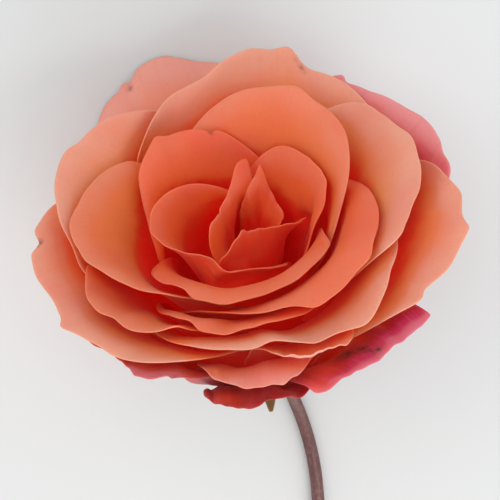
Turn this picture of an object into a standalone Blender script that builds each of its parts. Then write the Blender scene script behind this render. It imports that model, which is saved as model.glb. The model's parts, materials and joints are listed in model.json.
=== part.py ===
"""Cut rose lying on its side: nested petals with waved rims, sepals, stamens, hip and bent stem.

Lengths are in millimetres until the meshes are made, and in metres in the scene. The bloom is
laid out in its own frame, with +Z along the bloom's axis and the receptacle at the origin, and
is then laid down so that one guard petal and the stem rest on the plane z = 0.
"""
import math

import bpy
import numpy as np
from mathutils import Vector
from mathutils.bvhtree import BVHTree

for obj in list(bpy.data.objects):
    bpy.data.objects.remove(obj, do_unlink=True)

MM = 0.001

# Blades: thickness and the free way kept between two of them, mid surface to mid surface
BLADE = 0.66
WAY_REACH = (0.0, 8.0, 20.0, 60.0)
WAY_LEFT = (1.3, 1.2, 1.35, 1.35)
CLEAR = 1.04

# The family of cups that the petals lie on: openness 0 is a closed bud and 1 is fully open.
# Each row gives the angle between the blade and the bloom's axis at those reaches.
REACHES = (0.0, 10.0, 25.0, 40.0, 58.0)
CLOSED_ANGLES = (10.0, 4.0, -3.0, -8.0, -12.0)
HALF_ANGLES = (52.0, 34.0, 25.0, 26.0, 42.0)
OPEN_ANGLES = (86.0, 66.0, 54.0, 54.0, 78.0)
LONGEST = 66.0
SEAT_RADIUS = 2.0
SEAT_SPREAD = 6.4
SEAT_DOME = 2.6
CLAW_SHARE = 0.27

# What a petal's row leaves out. curl is how much more open the rim is than the blade, starting
# at the height start; roll opens the two sides; tilt opens the right side and closes the left;
# rim lengthens or cuts the blade and opens widens or closes it, as pairs of place and amount
# across the blade, from -1 to 1; wave, count and phase ripple the rim.
DEFAULTS = {
    "tilt": 0.0,
    "curl": 0.05,
    "start": 0.7,
    "roll": 0.0,
    "power": 2.0,
    "shoulder": 0.3,
    "square": 3.5,
    "skew": 0.0,
    "neck": 0.66,
    "rim": ((0, 0),),
    "opens": ((0, 0),),
    "wave": 0.006,
    "count": 2.0,
    "phase": 0.0,
}

# Petals from the heart outwards: name, azimuth, openness, length, width, and the rest
PETALS = (
    ("inner_petal_1", 44, 0.12, 36.5, 15, {
        "curl": 0.1, "start": 0.3, "shoulder": 0.5, "square": 1.6, "tilt": 0.03, "neck": 0.95,
        "rim": ((-0.95, -2), (-0.85, 5), (-0.4, 0), (-0.15, 1.5), (-0.05, 3.5), (0.15, -3), (0.4, -3.5),
                (0.7, 2), (0.9, 4)),
    }),
    ("inner_petal_2", 146, 0, 38.5, 38, {
        "curl": 0.03, "start": 0.8, "shoulder": 0.15, "skew": 0.08, "roll": 0.24, "tilt": 0.03,
        "power": 3, "neck": 0.8,
        "rim": ((-1, -8), (-0.8, -1.5), (-0.65, 0), (-0.2, -3.5), (0.2, -7), (0.6, -6.5), (0.8, -3.5),
                (0.9, 1), (1, 2)),
    }),
    ("inner_petal_3", 302, 0.11, 37, 27, {
        "curl": 0.02, "roll": 0.2, "tilt": -0.06, "shoulder": 0.1, "square": 4, "neck": 0.5,
        "rim": ((-1, -6), (-0.75, -4), (-0.3, -2), (0.1, 0), (0.3, 1), (0.4, 3), (1, 2)),
    }),
    ("inner_petal_4", 192, 0.26, 39.5, 54, {
        "curl": 0.04, "tilt": -0.04,
        "opens": ((-1, -0.04), (-0.5, -0.08), (-0.15, -0.02), (0.1, 0.04), (0.4, 0.04), (0.8, 0)),
    }),
    ("inner_petal_5", 12, 0.35, 42, 38, {
        "rim": ((-0.8, 1), (-0.35, -1), (0.3, 0), (0.42, -2), (0.6, -9), (1, -12)),
    }),
    ("inner_petal_6", 265, 0.38, 46.5, 52, {
        "curl": 0.12, "start": 0.75,
        "rim": ((-0.1, 0), (0.1, 2), (0.25, 0)),
        "opens": ((-0.9, 0), (-0.25, 0.01), (0.1, 0.01), (0.3, -0.03), (1, -0.05)),
    }),
    ("inner_petal_7", 107, 0.38, 44.5, 42, {
        "curl": 0.06, "shoulder": 0.2, "square": 5, "tilt": 0.02,
        "rim": ((-0.8, -7), (-0.6, -0.5), (-0.35, 1.5), (-0.2, 3), (-0.1, 1), (0.25, -0.5), (0.32, -2),
                (0.42, -1.5), (0.6, -4.5), (0.75, -7), (1, -9)),
    }),
    ("middle_petal_1", 42, 0.43, 52, 60, {
        "rim": ((-0.8, -1), (-0.3, -0.5), (-0.05, 1), (0.1, -1), (0.45, -1), (0.65, -1.5), (0.8, -4)),
    }),
    ("middle_petal_2", 190, 0.49, 53, 60, {
        "rim": ((-1, -5), (-0.3, -2.5), (-0.15, 0), (0.05, -1), (0.25, 0.5), (0.5, -0.5), (0.7, 1),
                (0.85, 4), (1, 8)),
        "opens": ((-0.8, -0.09), (-0.4, -0.03), (0, 0)),
    }),
    ("middle_petal_3", 302, 0.5, 52, 64, {
        "curl": 0.1, "start": 0.75,
        "rim": ((-1, 1), (-0.7, -1.5), (-0.35, -1), (-0.2, 1.5), (-0.1, -0.5), (0.1, 0)),
        "opens": ((-0.8, -0.03), (-0.5, -0.01), (0, 0)),
    }),
    ("middle_petal_4", 262, 0.54, 51, 46, {
        "curl": 0.06, "start": 0.75,
        "opens": ((-0.4, 0), (-0.15, 0.015), (0.1, 0.01), (0.35, -0.02), (0.6, -0.035)),
    }),
    ("middle_petal_5", 220, 0.58, 54, 44, {
        "curl": 0.03,
        "rim": ((-1, -4), (-0.3, -2), (-0.1, -0.5), (0.1, -2.5), (0.3, -0.5), (0.7, 0), (0.9, 5)),
        "opens": ((-1, -0.09), (-0.6, -0.06), (-0.5, -0.03), (-0.35, 0.01), (-0.15, 0.015), (0, 0)),
    }),
    ("middle_petal_6", 358, 0.6, 57, 60, {
        "curl": 0.04,
        "rim": ((-0.85, 0.5), (-0.7, -0.5), (-0.5, -2.5), (-0.3, -2.5), (-0.1, -0.5), (0.1, -1), (0.55, -1),
                (0.7, 2), (0.8, 5)),
    }),
    ("outer_petal_1", 285, 0.6, 54, 74, {
        "start": 0.75,
        "opens": ((-1, -0.03), (-0.75, -0.04), (-0.65, -0.01), (-0.5, 0.04), (-0.3, 0.085), (-0.15, 0.095),
                  (0.05, 0.1), (0.15, 0.06), (0.22, 0), (0.28, -0.02), (0.35, 0), (0.6, -0.005), (1, -0.02)),
    }),
    ("outer_petal_2", 66, 0.64, 57.5, 76, {
        "curl": 0, "tilt": 0.12, "skew": 0.04,
        "rim": ((-1, 6), (-0.85, 2), (-0.7, 0), (-0.55, -2.5), (-0.4, -3.5), (-0.3, -1.5), (-0.1, 0.5),
                (0.05, -0.5), (0.14, 0.8), (0.18, 0), (0.2, -2.5), (0.28, -4.5), (0.6, -4), (1, -3)),
    }),
    ("outer_petal_3", 151.5, 0.57, 56.5, 64, {
        "curl": 0.01,
        "rim": ((-0.7, -4.5), (-0.4, -2), (-0.1, 0), (0.2, 0.5), (0.3, -1), (0.5, 0), (0.7, 1.5), (0.9, 4)),
    }),
    ("outer_petal_4", 204, 0.67, 57.5, 72, {
        "curl": 0.03,
        "rim": ((-1, -6), (-0.8, -6), (-0.75, -3), (-0.65, 0), (-0.45, -0.5), (-0.35, -1.5), (-0.2, -1.5),
                (-0.06, 0.5), (0, -2), (0.2, -4), (0.4, -1.5), (0.6, 1), (0.64, 2), (0.68, -1.5),
                (0.74, 4), (0.85, 6), (1, 11)),
    }),
    ("outer_petal_5", 281, 0.7, 54.5, 24, {
        "curl": 0.02, "shoulder": 0.2, "square": 5, "neck": 0.5,
        "opens": ((-0.6, 0.02), (0, 0), (0.4, -0.03), (1, -0.06)),
    }),
    ("outer_petal_6", 264, 0.735, 55.5, 28, {
        "curl": 0.03, "shoulder": 0.2, "square": 5, "neck": 0.5,
        "rim": ((-1, -6), (-0.8, -5), (-0.6, -1.5), (-0.45, 2), (-0.1, 0), (0.2, -2), (0.45, -6), (1, -6)),
    }),
    ("outer_petal_7", 334, 0.77, 58, 54, {
        "curl": 0.04,
        "rim": ((-1, 5), (-0.8, 2.5), (-0.65, 0), (-0.4, -1), (-0.2, -1.5), (-0.05, 1), (0.1, -1),
                (0.3, -1.5), (0.55, -3), (0.7, 1.5), (0.8, 0)),
    }),
    ("guard_petal_1", 224, 0.72, 53, 30, {
        "curl": 0.02, "shoulder": 0.15, "square": 5,
        "rim": ((-1, 3), (-0.9, 4), (-0.8, 0), (-0.7, 2), (-0.45, 2.5), (-0.2, 0), (0, -2), (0.3, -3.5),
                (0.5, -2), (0.8, 1), (1, 6)),
    }),
    ("guard_petal_2", 22, 0.78, 57.5, 60, {
        "curl": 0.02,
        "rim": ((-0.8, 2), (-0.68, 1), (-0.62, -2.5), (-0.4, -4.5), (0, -3.5), (0.15, -2.5), (0.4, -1.5),
                (0.6, 0), (0.8, 5)),
    }),
    ("guard_petal_3", 97, 0.78, 60.5, 42, {
        "curl": 0.03, "roll": 0.12, "shoulder": 0.16, "square": 6,
        "rim": ((-0.9, -1.5), (-0.7, -3), (-0.55, -3), (-0.48, -1), (-0.42, -4), (-0.36, -1), (-0.1, 0),
                (0.1, -0.5), (0.3, -3), (0.5, -4.5), (0.7, -5), (0.9, -4.8)),
        "opens": ((0.2, 0), (0.5, 0.015), (0.7, 0.02), (1, 0.05)),
    }),
    ("guard_petal_4", 296, 0.85, 51, 32, {
        "curl": 0.03, "shoulder": 0.1, "square": 5,
        "rim": ((-1, 7), (-0.85, 3.5), (-0.6, 1), (0, 0), (0.3, -2.5), (0.6, -1), (0.9, 3.5)),
    }),
    ("guard_petal_5", 262, 0.84, 50.5, 24, {
        "curl": 0.02, "shoulder": 0.15, "square": 5,
        "rim": ((-0.7, -1), (-0.3, -1.5), (0, 0.5), (0.3, -1.5), (0.6, -1), (0.9, -2)),
    }),
)

# Each petal's own grid, the columns and rows of it that its solid keeps, the turns in degrees
# that are tried for its claw, and how many times at most it is pressed outwards
CELLS = 36
COLUMNS = (0, 3, 6, 9, 12, 15, 18, 21, 24, 27, 30, 33, 36)
ROWS = (0, 5, 10, 16, 22, 27, 31, 34, 36)
FEET = (0, -10, 10, -20, 20, -30, 30, -40, 40)
PRESSES = 14

# Sepals: azimuth, length, angle from the axis at the base, change of that angle to the tip
SEPALS = (
    (262, 19, 94, -18),
    (334, 21, 84, -22),
    (190, 21, 86, -24),
    (46, 21, 76, -26),
    (118, 21, 76, -26),
)
SEPAL_WIDTH = 7.0
SEPAL_RADIUS = 9.1
SEPAL_HEIGHT = -1.7
SEPAL_KEEL = 0.9

# Hip and receptacle, as distance back along the axis and radius
DOME_EDGE = 8.7
DOME_CLEAR = 1.2
HIP = (
    (1.9, 8.6),
    (2.6, 6.4),
    (4.2, 5.2),
    (7.0, 5.3),
    (10.0, 4.8),
    (13.0, 3.6),
    (15.5, 2.4),
    (18.0, 1.9),
)
STEM_RADIUS = 1.65
STEM_FLAT = 88.0
STEM_START = 10.0
STEM_END = -18.0
STEM_TURN = 50.0
SIDES = 14

# Stamens round the styles
STYLE_RADIUS = 0.95
STYLE_HEIGHT = 7.0
FILAMENTS = 9

# The bloom's axis rises by LEAN from the table and the bloom is turned round it by SPIN
LEAN = 38.0
SPIN = -5.5


def cup_angle(openness, reach):
    """Angle from the axis, blended through the three rows."""
    rows = (CLOSED_ANGLES, HALF_ANGLES, OPEN_ANGLES)
    closed, half, wide = (np.interp(reach, REACHES, row) for row in rows)
    return (
        closed * (1 - openness) * (1 - 2 * openness)
        + half * 4 * openness * (1 - openness)
        + wide * openness * (2 * openness - 1)
    )


def seat(openness):
    """Radius and height at which a petal of this openness sits on the receptacle."""
    return SEAT_RADIUS + SEAT_SPREAD * openness, SEAT_DOME * (1 - openness**2)


GRID_OPEN = np.linspace(-0.15, 1.35, 151)
GRID_REACH = np.linspace(0.0, LONGEST, 120)


def running_sum(values):
    steps = (values[1:] + values[:-1]) / 2 * (GRID_REACH[1] - GRID_REACH[0])
    return np.concatenate([[0.0], np.cumsum(steps)])


def cup_tables():
    """Radius, height and millimetres across the cups per unit of openness, over the grid."""
    angles = np.radians([cup_angle(openness, GRID_REACH) for openness in GRID_OPEN])
    radius = np.array([seat(o)[0] + running_sum(np.sin(a)) for o, a in zip(GRID_OPEN, angles)])
    height = np.array([seat(o)[1] + running_sum(np.cos(a)) for o, a in zip(GRID_OPEN, angles)])
    wider = np.gradient(radius, GRID_OPEN, axis=0)
    lower = np.gradient(height, GRID_OPEN, axis=0)
    return radius, height, wider * np.cos(angles) - lower * np.sin(angles)


RADIUS, HEIGHT, ACROSS = cup_tables()


def look_up(table, openness, reach):
    """Value of a table between its grid lines."""
    openness, reach = np.broadcast_arrays(np.asarray(openness, float), np.asarray(reach, float))
    i = np.clip((openness - GRID_OPEN[0]) / (GRID_OPEN[1] - GRID_OPEN[0]), 0, len(GRID_OPEN) - 1.001)
    j = np.clip(reach / (GRID_REACH[1] - GRID_REACH[0]), 0, len(GRID_REACH) - 1.001)
    low, left = i.astype(int), j.astype(int)
    a, b = i - low, j - left
    near = table[low, left] * (1 - b) + table[low, left + 1] * b
    far = table[low + 1, left] * (1 - b) + table[low + 1, left + 1] * b
    return near * (1 - a) + far * a


def across(marks, u):
    """The amounts of some marks across a blade, joined by straight lines."""
    return np.interp(u, *zip(*marks))


def plan(petal, foot):
    """Azimuth in degrees and reach in mm of the petal's own grid of CELLS by CELLS."""
    u = np.linspace(-1, 1, CELLS + 1)[None, :]
    v = np.linspace(0, 1, CELLS + 1)[:, None]
    drop = petal["shoulder"] * np.abs(u) ** petal["square"] - petal["skew"] * u
    drop = drop - across(petal["rim"], u) / petal["length"]
    straight = np.clip((drop - 0.35) / 0.1, 0, 1)
    reach = petal["length"] * (v - drop * v * (v + straight * (1 - v)))
    neck = petal["neck"]
    grow = np.clip(v / neck, 0, 1)
    grow = grow * grow * (3 - 2 * grow)
    seat_radius = seat(petal["openness"])[0]
    claw = CLAW_SHARE * seat_radius
    half = claw + (petal["width"] / 2 - claw) * grow
    half = half * (1 - 0.06 * np.clip((v - neck) / (1.001 - neck), 0, 1) ** 2)
    middle = look_up(RADIUS, max(petal["openness"], 0.22), reach)
    turn = foot * np.clip(1 - v / 0.55, 0, 1) ** 2
    azimuth = petal["azimuth"] + turn - np.degrees(u * half / np.maximum(middle, seat_radius))
    return u, v, azimuth, reach


# A field of openness over azimuth, every 2 degrees, and reach, every mm
TURNS = 180
REACH_BINS = 67


def read_field(field, azimuth, reach):
    i = (azimuth / 2.0) % TURNS
    j = np.clip(reach, 0, REACH_BINS - 1.001)
    low, left = np.floor(i).astype(int), j.astype(int)
    a, b = i - low, j - left
    low, high = low % TURNS, (low + 1) % TURNS
    near = field[low, left] * (1 - b) + field[low, left + 1] * b
    far = field[high, left] * (1 - b) + field[high, left + 1] * b
    return near * (1 - a) + far * a


def refine(values):
    """The same grid with five steps in each cell."""
    values = np.broadcast_to(values, (CELLS + 1, CELLS + 1))
    old = np.arange(CELLS + 1)
    new = np.linspace(0, CELLS, 5 * CELLS + 1)
    rows = np.array([np.interp(new, old, row) for row in values])
    return np.array([np.interp(new, old, column) for column in rows.T]).T


def lay_on_field(azimuth, reach, openness):
    """The largest openness that a blade has in each bin, grown by two bins round it."""
    field = np.full((TURNS, REACH_BINS), -9.0)
    i = np.round(refine(azimuth) / 2.0).astype(int) % TURNS
    j = np.clip(np.round(refine(reach)).astype(int), 0, REACH_BINS - 1)
    np.maximum.at(field, (i, j), refine(openness))
    for _ in range(2):
        field = np.maximum(field, np.maximum(np.roll(field, 1, 0), np.roll(field, -1, 0)))
        grown = field.copy()
        grown[:, 1:] = np.maximum(grown[:, 1:], field[:, :-1])
        grown[:, :-1] = np.maximum(grown[:, :-1], field[:, 1:])
        field = grown
    return field


def blur(field):
    for _ in range(2):
        field = (field + np.roll(field, 1, 0) + np.roll(field, -1, 0)) / 3
        padded = np.pad(field, ((0, 0), (1, 1)), mode="edge")
        field = (padded[:, :-2] + padded[:, 1:-1] + padded[:, 2:]) / 3
    return field


def soft_above(values, floor):
    """values, eased so that they stay above the floor."""
    softness = 0.012
    t = (values - floor) / softness
    return floor + softness * np.where(t > 30, t, np.log1p(np.exp(np.minimum(t, 30))))


def way(openness, reach):
    """The free way between two blades, as a difference of openness."""
    return np.interp(reach, WAY_REACH, WAY_LEFT) / np.maximum(look_up(ACROSS, openness, reach), 3.0)


def best_foot(petal, floor):
    """The turn of the claw that is in the way of the fewest claws inside it."""
    best, found = 9.0, 0
    for foot in FEET:
        _, _, azimuth, reach = plan(petal, foot)
        push = read_field(floor, azimuth, reach) - petal["openness"] + 0.03
        cost = float(np.clip(push, 0, 9)[:16].max()) + 0.0004 * abs(foot)
        if cost < best - 1e-6:
            best, found = cost, foot
    return found


def nest(petals):
    """Openness of each blade at each point. From the heart outwards each blade is pushed clear of
    those inside it, and then from outside inwards the curls and waves are held clear of it."""
    floor = np.full((TURNS, REACH_BINS), -0.4)
    for petal in petals:
        u, v, azimuth, reach = plan(petal, best_foot(petal, floor))
        wanted = petal["openness"] + petal["tilt"] * u * v**1.5
        wanted = wanted + petal["roll"] * np.abs(u) ** petal["power"] * v**2
        wanted = wanted + across(petal["opens"], u) * v**2
        calm = soft_above(wanted, read_field(floor, azimuth, reach))
        petal["plan"], petal["calm"] = (u, v, azimuth, reach), calm
        laid = lay_on_field(azimuth, reach, calm + way(calm, reach))
        floor = np.maximum(floor, blur(np.maximum(floor, laid)))
    ceiling = np.full((TURNS, REACH_BINS), 3.0)
    for petal in reversed(petals):
        u, v, azimuth, reach = petal["plan"]
        rise = np.clip((v - petal["start"]) / (1 - petal["start"]), 0, 1)
        ripple = np.sin(np.pi * (petal["count"] * u + petal["phase"]))
        extra = petal["curl"] * rise**2 + petal["wave"] * ripple * v**3
        openness = petal["calm"] + extra
        limit = np.maximum(read_field(ceiling, azimuth, reach), petal["calm"])
        openness = np.where(extra > 0, -soft_above(-openness, -limit), openness)
        laid = lay_on_field(azimuth, reach, way(openness, reach) - openness)
        ceiling = np.minimum(ceiling, -np.where(laid > -3, laid, -3.0))
        petal["surface"] = to_points(azimuth, reach, openness)


def to_points(azimuth, reach, openness):
    radius = look_up(RADIUS, openness, reach)
    angle = np.radians(azimuth)
    height = look_up(HEIGHT, openness, reach)
    return np.stack([radius * np.cos(angle), radius * np.sin(angle), height], axis=-1)


def unit(vectors):
    return vectors / np.linalg.norm(vectors, axis=-1, keepdims=True)


def outward(grid):
    """The normals of a grid of points, away from the bloom's axis."""
    return unit(np.cross(np.gradient(grid, axis=0), np.gradient(grid, axis=1)))


def facets(tall, wide):
    """Two triangles in each cell of a grid, facing outwards."""
    faces = []
    for i in range(tall - 1):
        for j in range(wide - 1):
            a = i * wide + j
            faces += [(a, a + wide + 1, a + 1), (a, a + wide, a + wide + 1)]
    return faces


def links(tall, wide):
    """Both ends of each grid point, edge and diagonal, where two blades are compared."""
    index = np.arange(tall * wide).reshape(tall, wide)
    pairs = [(index, index), (index[:, :-1], index[:, 1:]), (index[:-1], index[1:])]
    pairs.append((index[:-1, :-1], index[1:, 1:]))
    return np.concatenate([np.stack([a.ravel(), b.ravel()], axis=1) for a, b in pairs])


def pushes(samples, tree, side):
    """How far each sample still has to move outwards (side 1) or the facets do (side -1)."""
    for number, point in enumerate(samples):
        place, normal, face, distance = tree.find_nearest(Vector(point), 1.6)
        if place is None:
            continue
        outside = side * (Vector(point) - place).dot(normal)
        beside = abs(outside) < 0.7 * distance
        lacking = CLEAR - (distance if beside and outside > 0 else outside)
        if lacking > 0 and not (beside and distance > CLEAR):
            yield number, face, lacking


def press_apart(grids):
    """Each blade in turn is pressed outwards until its facets clear those of the blades inside it."""
    tall, wide = grids[0].shape[:2]
    faces = facets(tall, wide)
    ends = links(tall, wide)
    trees = []
    for grid in grids:
        points = grid.reshape(-1, 3)
        normal = outward(grid).reshape(-1, 3)
        for _ in range(PRESSES):
            move = np.zeros(len(points))
            own = BVHTree.FromPolygons([tuple(point) for point in points], faces)
            middles = (points[ends[:, 0]] + points[ends[:, 1]]) / 2
            for inside, tree in trees:
                for number, _, lacking in pushes(middles, tree, 1):
                    for end in ends[number]:
                        move[end] = max(move[end], lacking)
                inner = (inside[ends[:, 0]] + inside[ends[:, 1]]) / 2
                for _, face, lacking in pushes(inner, own, -1):
                    for corner in faces[face]:
                        move[corner] = max(move[corner], lacking)
            if move.max() < 0.02:
                break
            points += normal * move[:, None] * 0.8
        trees.append((points, BVHTree.FromPolygons([tuple(point) for point in points], faces)))


def blade(grid, thickness):
    """Points and triangles of a closed blade round a mid surface."""
    tall, wide = grid.shape[:2]
    side = outward(grid) * thickness / 2
    points = np.concatenate([(grid + side).reshape(-1, 3), (grid - side).reshape(-1, 3)])
    below = tall * wide
    faces = facets(tall, wide)
    faces += [(below + a, below + c, below + b) for a, b, c in faces]
    rim = list(range(wide))
    rim += [i * wide + wide - 1 for i in range(1, tall)]
    rim += [(tall - 1) * wide + j for j in range(wide - 2, -1, -1)]
    rim += [i * wide for i in range(tall - 2, 0, -1)]
    for a, b in zip(rim, rim[1:] + rim[:1]):
        faces += [(a, b, below + b), (a, below + b, below + a)]
    return points, faces


def sepal_surface(azimuth, length, angle, bend):
    """A keeled, tapering blade under the petals, on a grid of 5 by 11."""
    u = np.linspace(-1, 1, 5)[None, :]
    v = np.linspace(0, 1, 11)[:, None]
    steps = np.radians(angle + bend * v[:, 0])
    run = np.concatenate([[0], np.cumsum(np.sin((steps[1:] + steps[:-1]) / 2))]) * length / 10
    rise = np.concatenate([[0], np.cumsum(np.cos((steps[1:] + steps[:-1]) / 2))]) * length / 10
    half = SEPAL_WIDTH / 2 * (0.62 + 0.38 * np.sin(np.pi * np.clip(v / 0.5, 0, 1) / 2))
    half = half * (1 - 0.88 * np.clip((v - 0.2) / 0.8, 0, 1) ** 1.15)
    keel = SEPAL_KEEL * (u**2) * half / SEPAL_WIDTH * 2
    out = (SEPAL_RADIUS + run)[:, None] - keel * np.cos(steps)[:, None]
    up = (SEPAL_HEIGHT + rise)[:, None] + keel * np.sin(steps)[:, None]
    side = u * half
    turn = math.radians(azimuth)
    x = out * math.cos(turn) - side * math.sin(turn)
    y = out * math.sin(turn) + side * math.cos(turn)
    return np.stack([x, y, up + 0 * side], axis=-1)


def pose():
    """Turns the bloom's frame into the table's: axis up by LEAN over +Y, after SPIN round it."""
    spin, lean = math.radians(SPIN), math.radians(LEAN)
    turn = np.array(
        [[math.cos(spin), -math.sin(spin), 0], [math.sin(spin), math.cos(spin), 0], [0, 0, 1]]
    )
    lay = np.array(
        [[1, 0, 0], [0, math.sin(lean), math.cos(lean)], [0, -math.cos(lean), math.sin(lean)]]
    )
    return lay @ turn


def stem_path(start):
    """Centre line from the hip's end: on along the axis, then bent flat and on along the table."""
    lean = math.radians(LEAN)
    bend = (start[2] - STEM_RADIUS) * lean / (1 - math.cos(lean))
    total = bend + STEM_FLAT
    count = 34
    points, directions = [], []
    point = np.array(start, float)
    for step in range(count + 1):
        along = total * step / count
        slope = lean * (1 - min(along / bend, 1.0))
        turned = min(along / STEM_TURN, 1.0)
        turned = turned * turned * (3 - 2 * turned)
        heading = math.radians(STEM_START + (STEM_END - STEM_START) * turned)
        level = math.cos(slope)
        direction = np.array([math.sin(heading) * level, -math.cos(heading) * level, -math.sin(slope)])
        if step:
            mean = unit(direction + directions[-1])
            point = point + mean * total / count
        points.append(point)
        directions.append(direction)
    return points, directions


def swept(centres, directions, radii):
    """A closed body of rings round a centre line, pointed at its start and cut flat at its end."""
    points, faces = [centres[0]], []
    side = np.array([1.0, 0.0, 0.0])
    for centre, direction, radius in zip(centres[1:], directions[1:], radii[1:]):
        side = unit(side - np.dot(side, direction) * direction)
        up = np.cross(direction, side)
        for k in range(SIDES):
            angle = 2 * math.pi * k / SIDES
            points.append(centre + radius * (math.cos(angle) * side + math.sin(angle) * up))
    rings = len(centres) - 1
    last = len(points)
    points.append(centres[-1])
    for k in range(SIDES):
        n = (k + 1) % SIDES
        faces.append((0, 1 + n, 1 + k))
        for ring in range(rings - 1):
            a, b = 1 + ring * SIDES, 1 + (ring + 1) * SIDES
            faces += [(a + k, a + n, b + n), (a + k, b + n, b + k)]
        end = 1 + (rings - 1) * SIDES
        faces.append((last, end + k, end + n))
    return np.array(points), faces


def finish(name, colour, roughness, translucent):
    """A Principled material of the piece's own."""
    material = bpy.data.materials.new(name)
    material.use_nodes = True
    shader = material.node_tree.nodes["Principled BSDF"]
    shader.inputs["Base Color"].default_value = (*colour, 1.0)
    shader.inputs["Roughness"].default_value = roughness
    shader.inputs["Subsurface Weight"].default_value = translucent
    shader.inputs["Subsurface Scale"].default_value = 0.002
    return material


def make_object(name, points, faces, material):
    mesh = bpy.data.meshes.new(name)
    mesh.from_pydata([tuple(point) for point in np.asarray(points) * MM], [], faces)
    mesh.validate()
    made = bpy.data.objects.new(name, mesh)
    made.data.materials.append(material)
    bpy.context.scene.collection.objects.link(made)
    return made


def face_outwards(points, faces):
    """The faces turned so that the body's volume is positive."""
    corners = np.asarray(points)[np.asarray(faces)]
    volume = np.linalg.det(corners).sum()
    return faces if volume > 0 else [face[::-1] for face in faces]


def petal_colour(name):
    """Orange at the heart, salmon in the middle and rose red on the guard petals."""
    colours = {
        "inner": (0.80, 0.17, 0.05),
        "middle": (0.83, 0.24, 0.10),
        "outer": (0.84, 0.29, 0.16),
        "guard": (0.66, 0.07, 0.12),
    }
    return colours[name.split("_")[0]]


def grow_petals():
    petals = []
    for name, azimuth, openness, length, width, rest in PETALS:
        petal = dict(DEFAULTS, name=name, azimuth=azimuth, openness=openness, length=length, width=width)
        petal.update(rest)
        petals.append(petal)
    nest(petals)
    return petals


def build(petals):
    grids = [petal["surface"][np.ix_(ROWS, COLUMNS)] for petal in petals]
    press_apart(grids)
    bodies = {petal["name"]: blade(grid, BLADE) for petal, grid in zip(petals, grids)}
    for number, row in enumerate(SEPALS, 1):
        bodies[f"sepal_{number}"] = blade(sepal_surface(*row), BLADE)
    lay = pose()
    lowest = min((points @ lay.T)[:, 2].min() for points, _ in bodies.values())
    lift = np.array([0.0, 0.0, -lowest])
    for name, (points, faces) in bodies.items():
        bodies[name] = (points @ lay.T + lift, faces)

    # Receptacle, hip and stem are one swept body
    axis = lay @ np.array([0.0, 0.0, 1.0])
    centres, radii = [], []
    for share in (0.0, 0.22, 0.45, 0.7, 0.9, 1.0):
        radius = DOME_EDGE * share
        openness = max(radius - SEAT_RADIUS, 0.0) / SEAT_SPREAD
        centres.append(lift + axis * (SEAT_DOME * (1 - openness**2) - DOME_CLEAR))
        radii.append(radius)
    for back, radius in HIP:
        centres.append(lift - axis * back)
        radii.append(radius)
    path, headings = stem_path(centres[-1] - axis * 2.0)
    directions = [-axis] * len(centres) + headings
    centres += path
    radii += [STEM_RADIUS] * len(path)
    bodies["hip_and_stem"] = swept(centres, directions, radii)

    everything = np.concatenate([points for points, _ in bodies.values()])
    low, high = everything.min(axis=0), everything.max(axis=0)
    shift = np.array([-(low[0] + high[0]) / 2, -(low[1] + high[1]) / 2, -low[2]])
    for name, (points, faces) in bodies.items():
        if "petal" in name:
            material = finish(name, petal_colour(name), 0.55, 0.3)
        elif "sepal" in name:
            material = finish(name, (0.16, 0.24, 0.06), 0.6, 0.1)
        else:
            material = finish(name, (0.20, 0.09, 0.06), 0.5, 0.0)
        placed = points + shift
        make_object(name, placed, face_outwards(placed - placed.mean(axis=0), faces), material)
    return lay, lift + shift


def make_stamens(lay, origin):
    """Style column with a ring of filaments and anthers, fused by one Boolean."""
    helpers = bpy.data.collections.new("stamen_parts")
    bpy.context.scene.collection.children.link(helpers)
    base = SEAT_DOME - DOME_CLEAR + 0.35

    def rod(name, start, end, radii):
        start, end = np.array(start, float), np.array(end, float)
        along = unit(end - start)
        side = unit(np.cross(along, [0.3, 1.0, 0.1]))
        up = np.cross(along, side)
        points, faces = [], []
        for t, radius in radii:
            for k in range(6):
                angle = math.pi * k / 3
                spoke = math.cos(angle) * side + math.sin(angle) * up
                points.append(start + (end - start) * t + radius * spoke)
        for ring in range(len(radii) - 1):
            for k in range(6):
                n = (k + 1) % 6
                a, b = ring * 6, ring * 6 + 6
                faces += [(a + k, a + n, b + n), (a + k, b + n, b + k)]
        top = (len(radii) - 1) * 6
        faces += [tuple(range(5, -1, -1)), tuple(range(top, top + 6))]
        points = np.array(points) @ lay.T + origin
        return make_object(name, points, faces, stamen_finish)

    stamen_finish = finish("stamens", (0.75, 0.48, 0.10), 0.6, 0.0)
    styles = ((0, STYLE_RADIUS), (0.8, 0.8), (1, 1.1))
    column = rod("stamens", (0, 0, base), (0, 0, base + STYLE_HEIGHT), styles)
    for k in range(FILAMENTS):
        angle = 2 * math.pi * k / FILAMENTS
        spread = (math.cos(angle), math.sin(angle))
        height = STYLE_HEIGHT + 1.6 + 0.7 * math.sin(2.4 * k)
        foot = (0.5 * spread[0], 0.5 * spread[1], base + 0.4)
        tip = (1.75 * spread[0], 1.75 * spread[1], base + height)
        stalk = rod(f"stalk_{k}", foot, tip, ((0, 0.32), (0.86, 0.32), (0.9, 0.6), (1.0, 0.5)))
        bpy.context.scene.collection.objects.unlink(stalk)
        helpers.objects.link(stalk)
        stalk.hide_render = True
    fuse = column.modifiers.new("fuse", "BOOLEAN")
    fuse.operation = "UNION"
    fuse.solver = "EXACT"
    fuse.operand_type = "COLLECTION"
    fuse.collection = helpers
    bpy.context.view_layer.update()


NESTED = grow_petals()
laid, origin = build(NESTED)
make_stamens(laid, origin)
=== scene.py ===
# %% [markdown]
# # A cut rose, lying on its side
#
# The real flower is a garden rose in full bloom: twenty-five thin petals in a spiral round a hidden
# tuft of stamens, five sepals below them, and a hip that runs into a bare stem. The engineering
# model holds the same pieces as plain solids. This file dresses them: every petal is grown again
# on a finer grid, with its veins, its pale rim and its two differently coloured faces.

import json
import math

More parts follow.
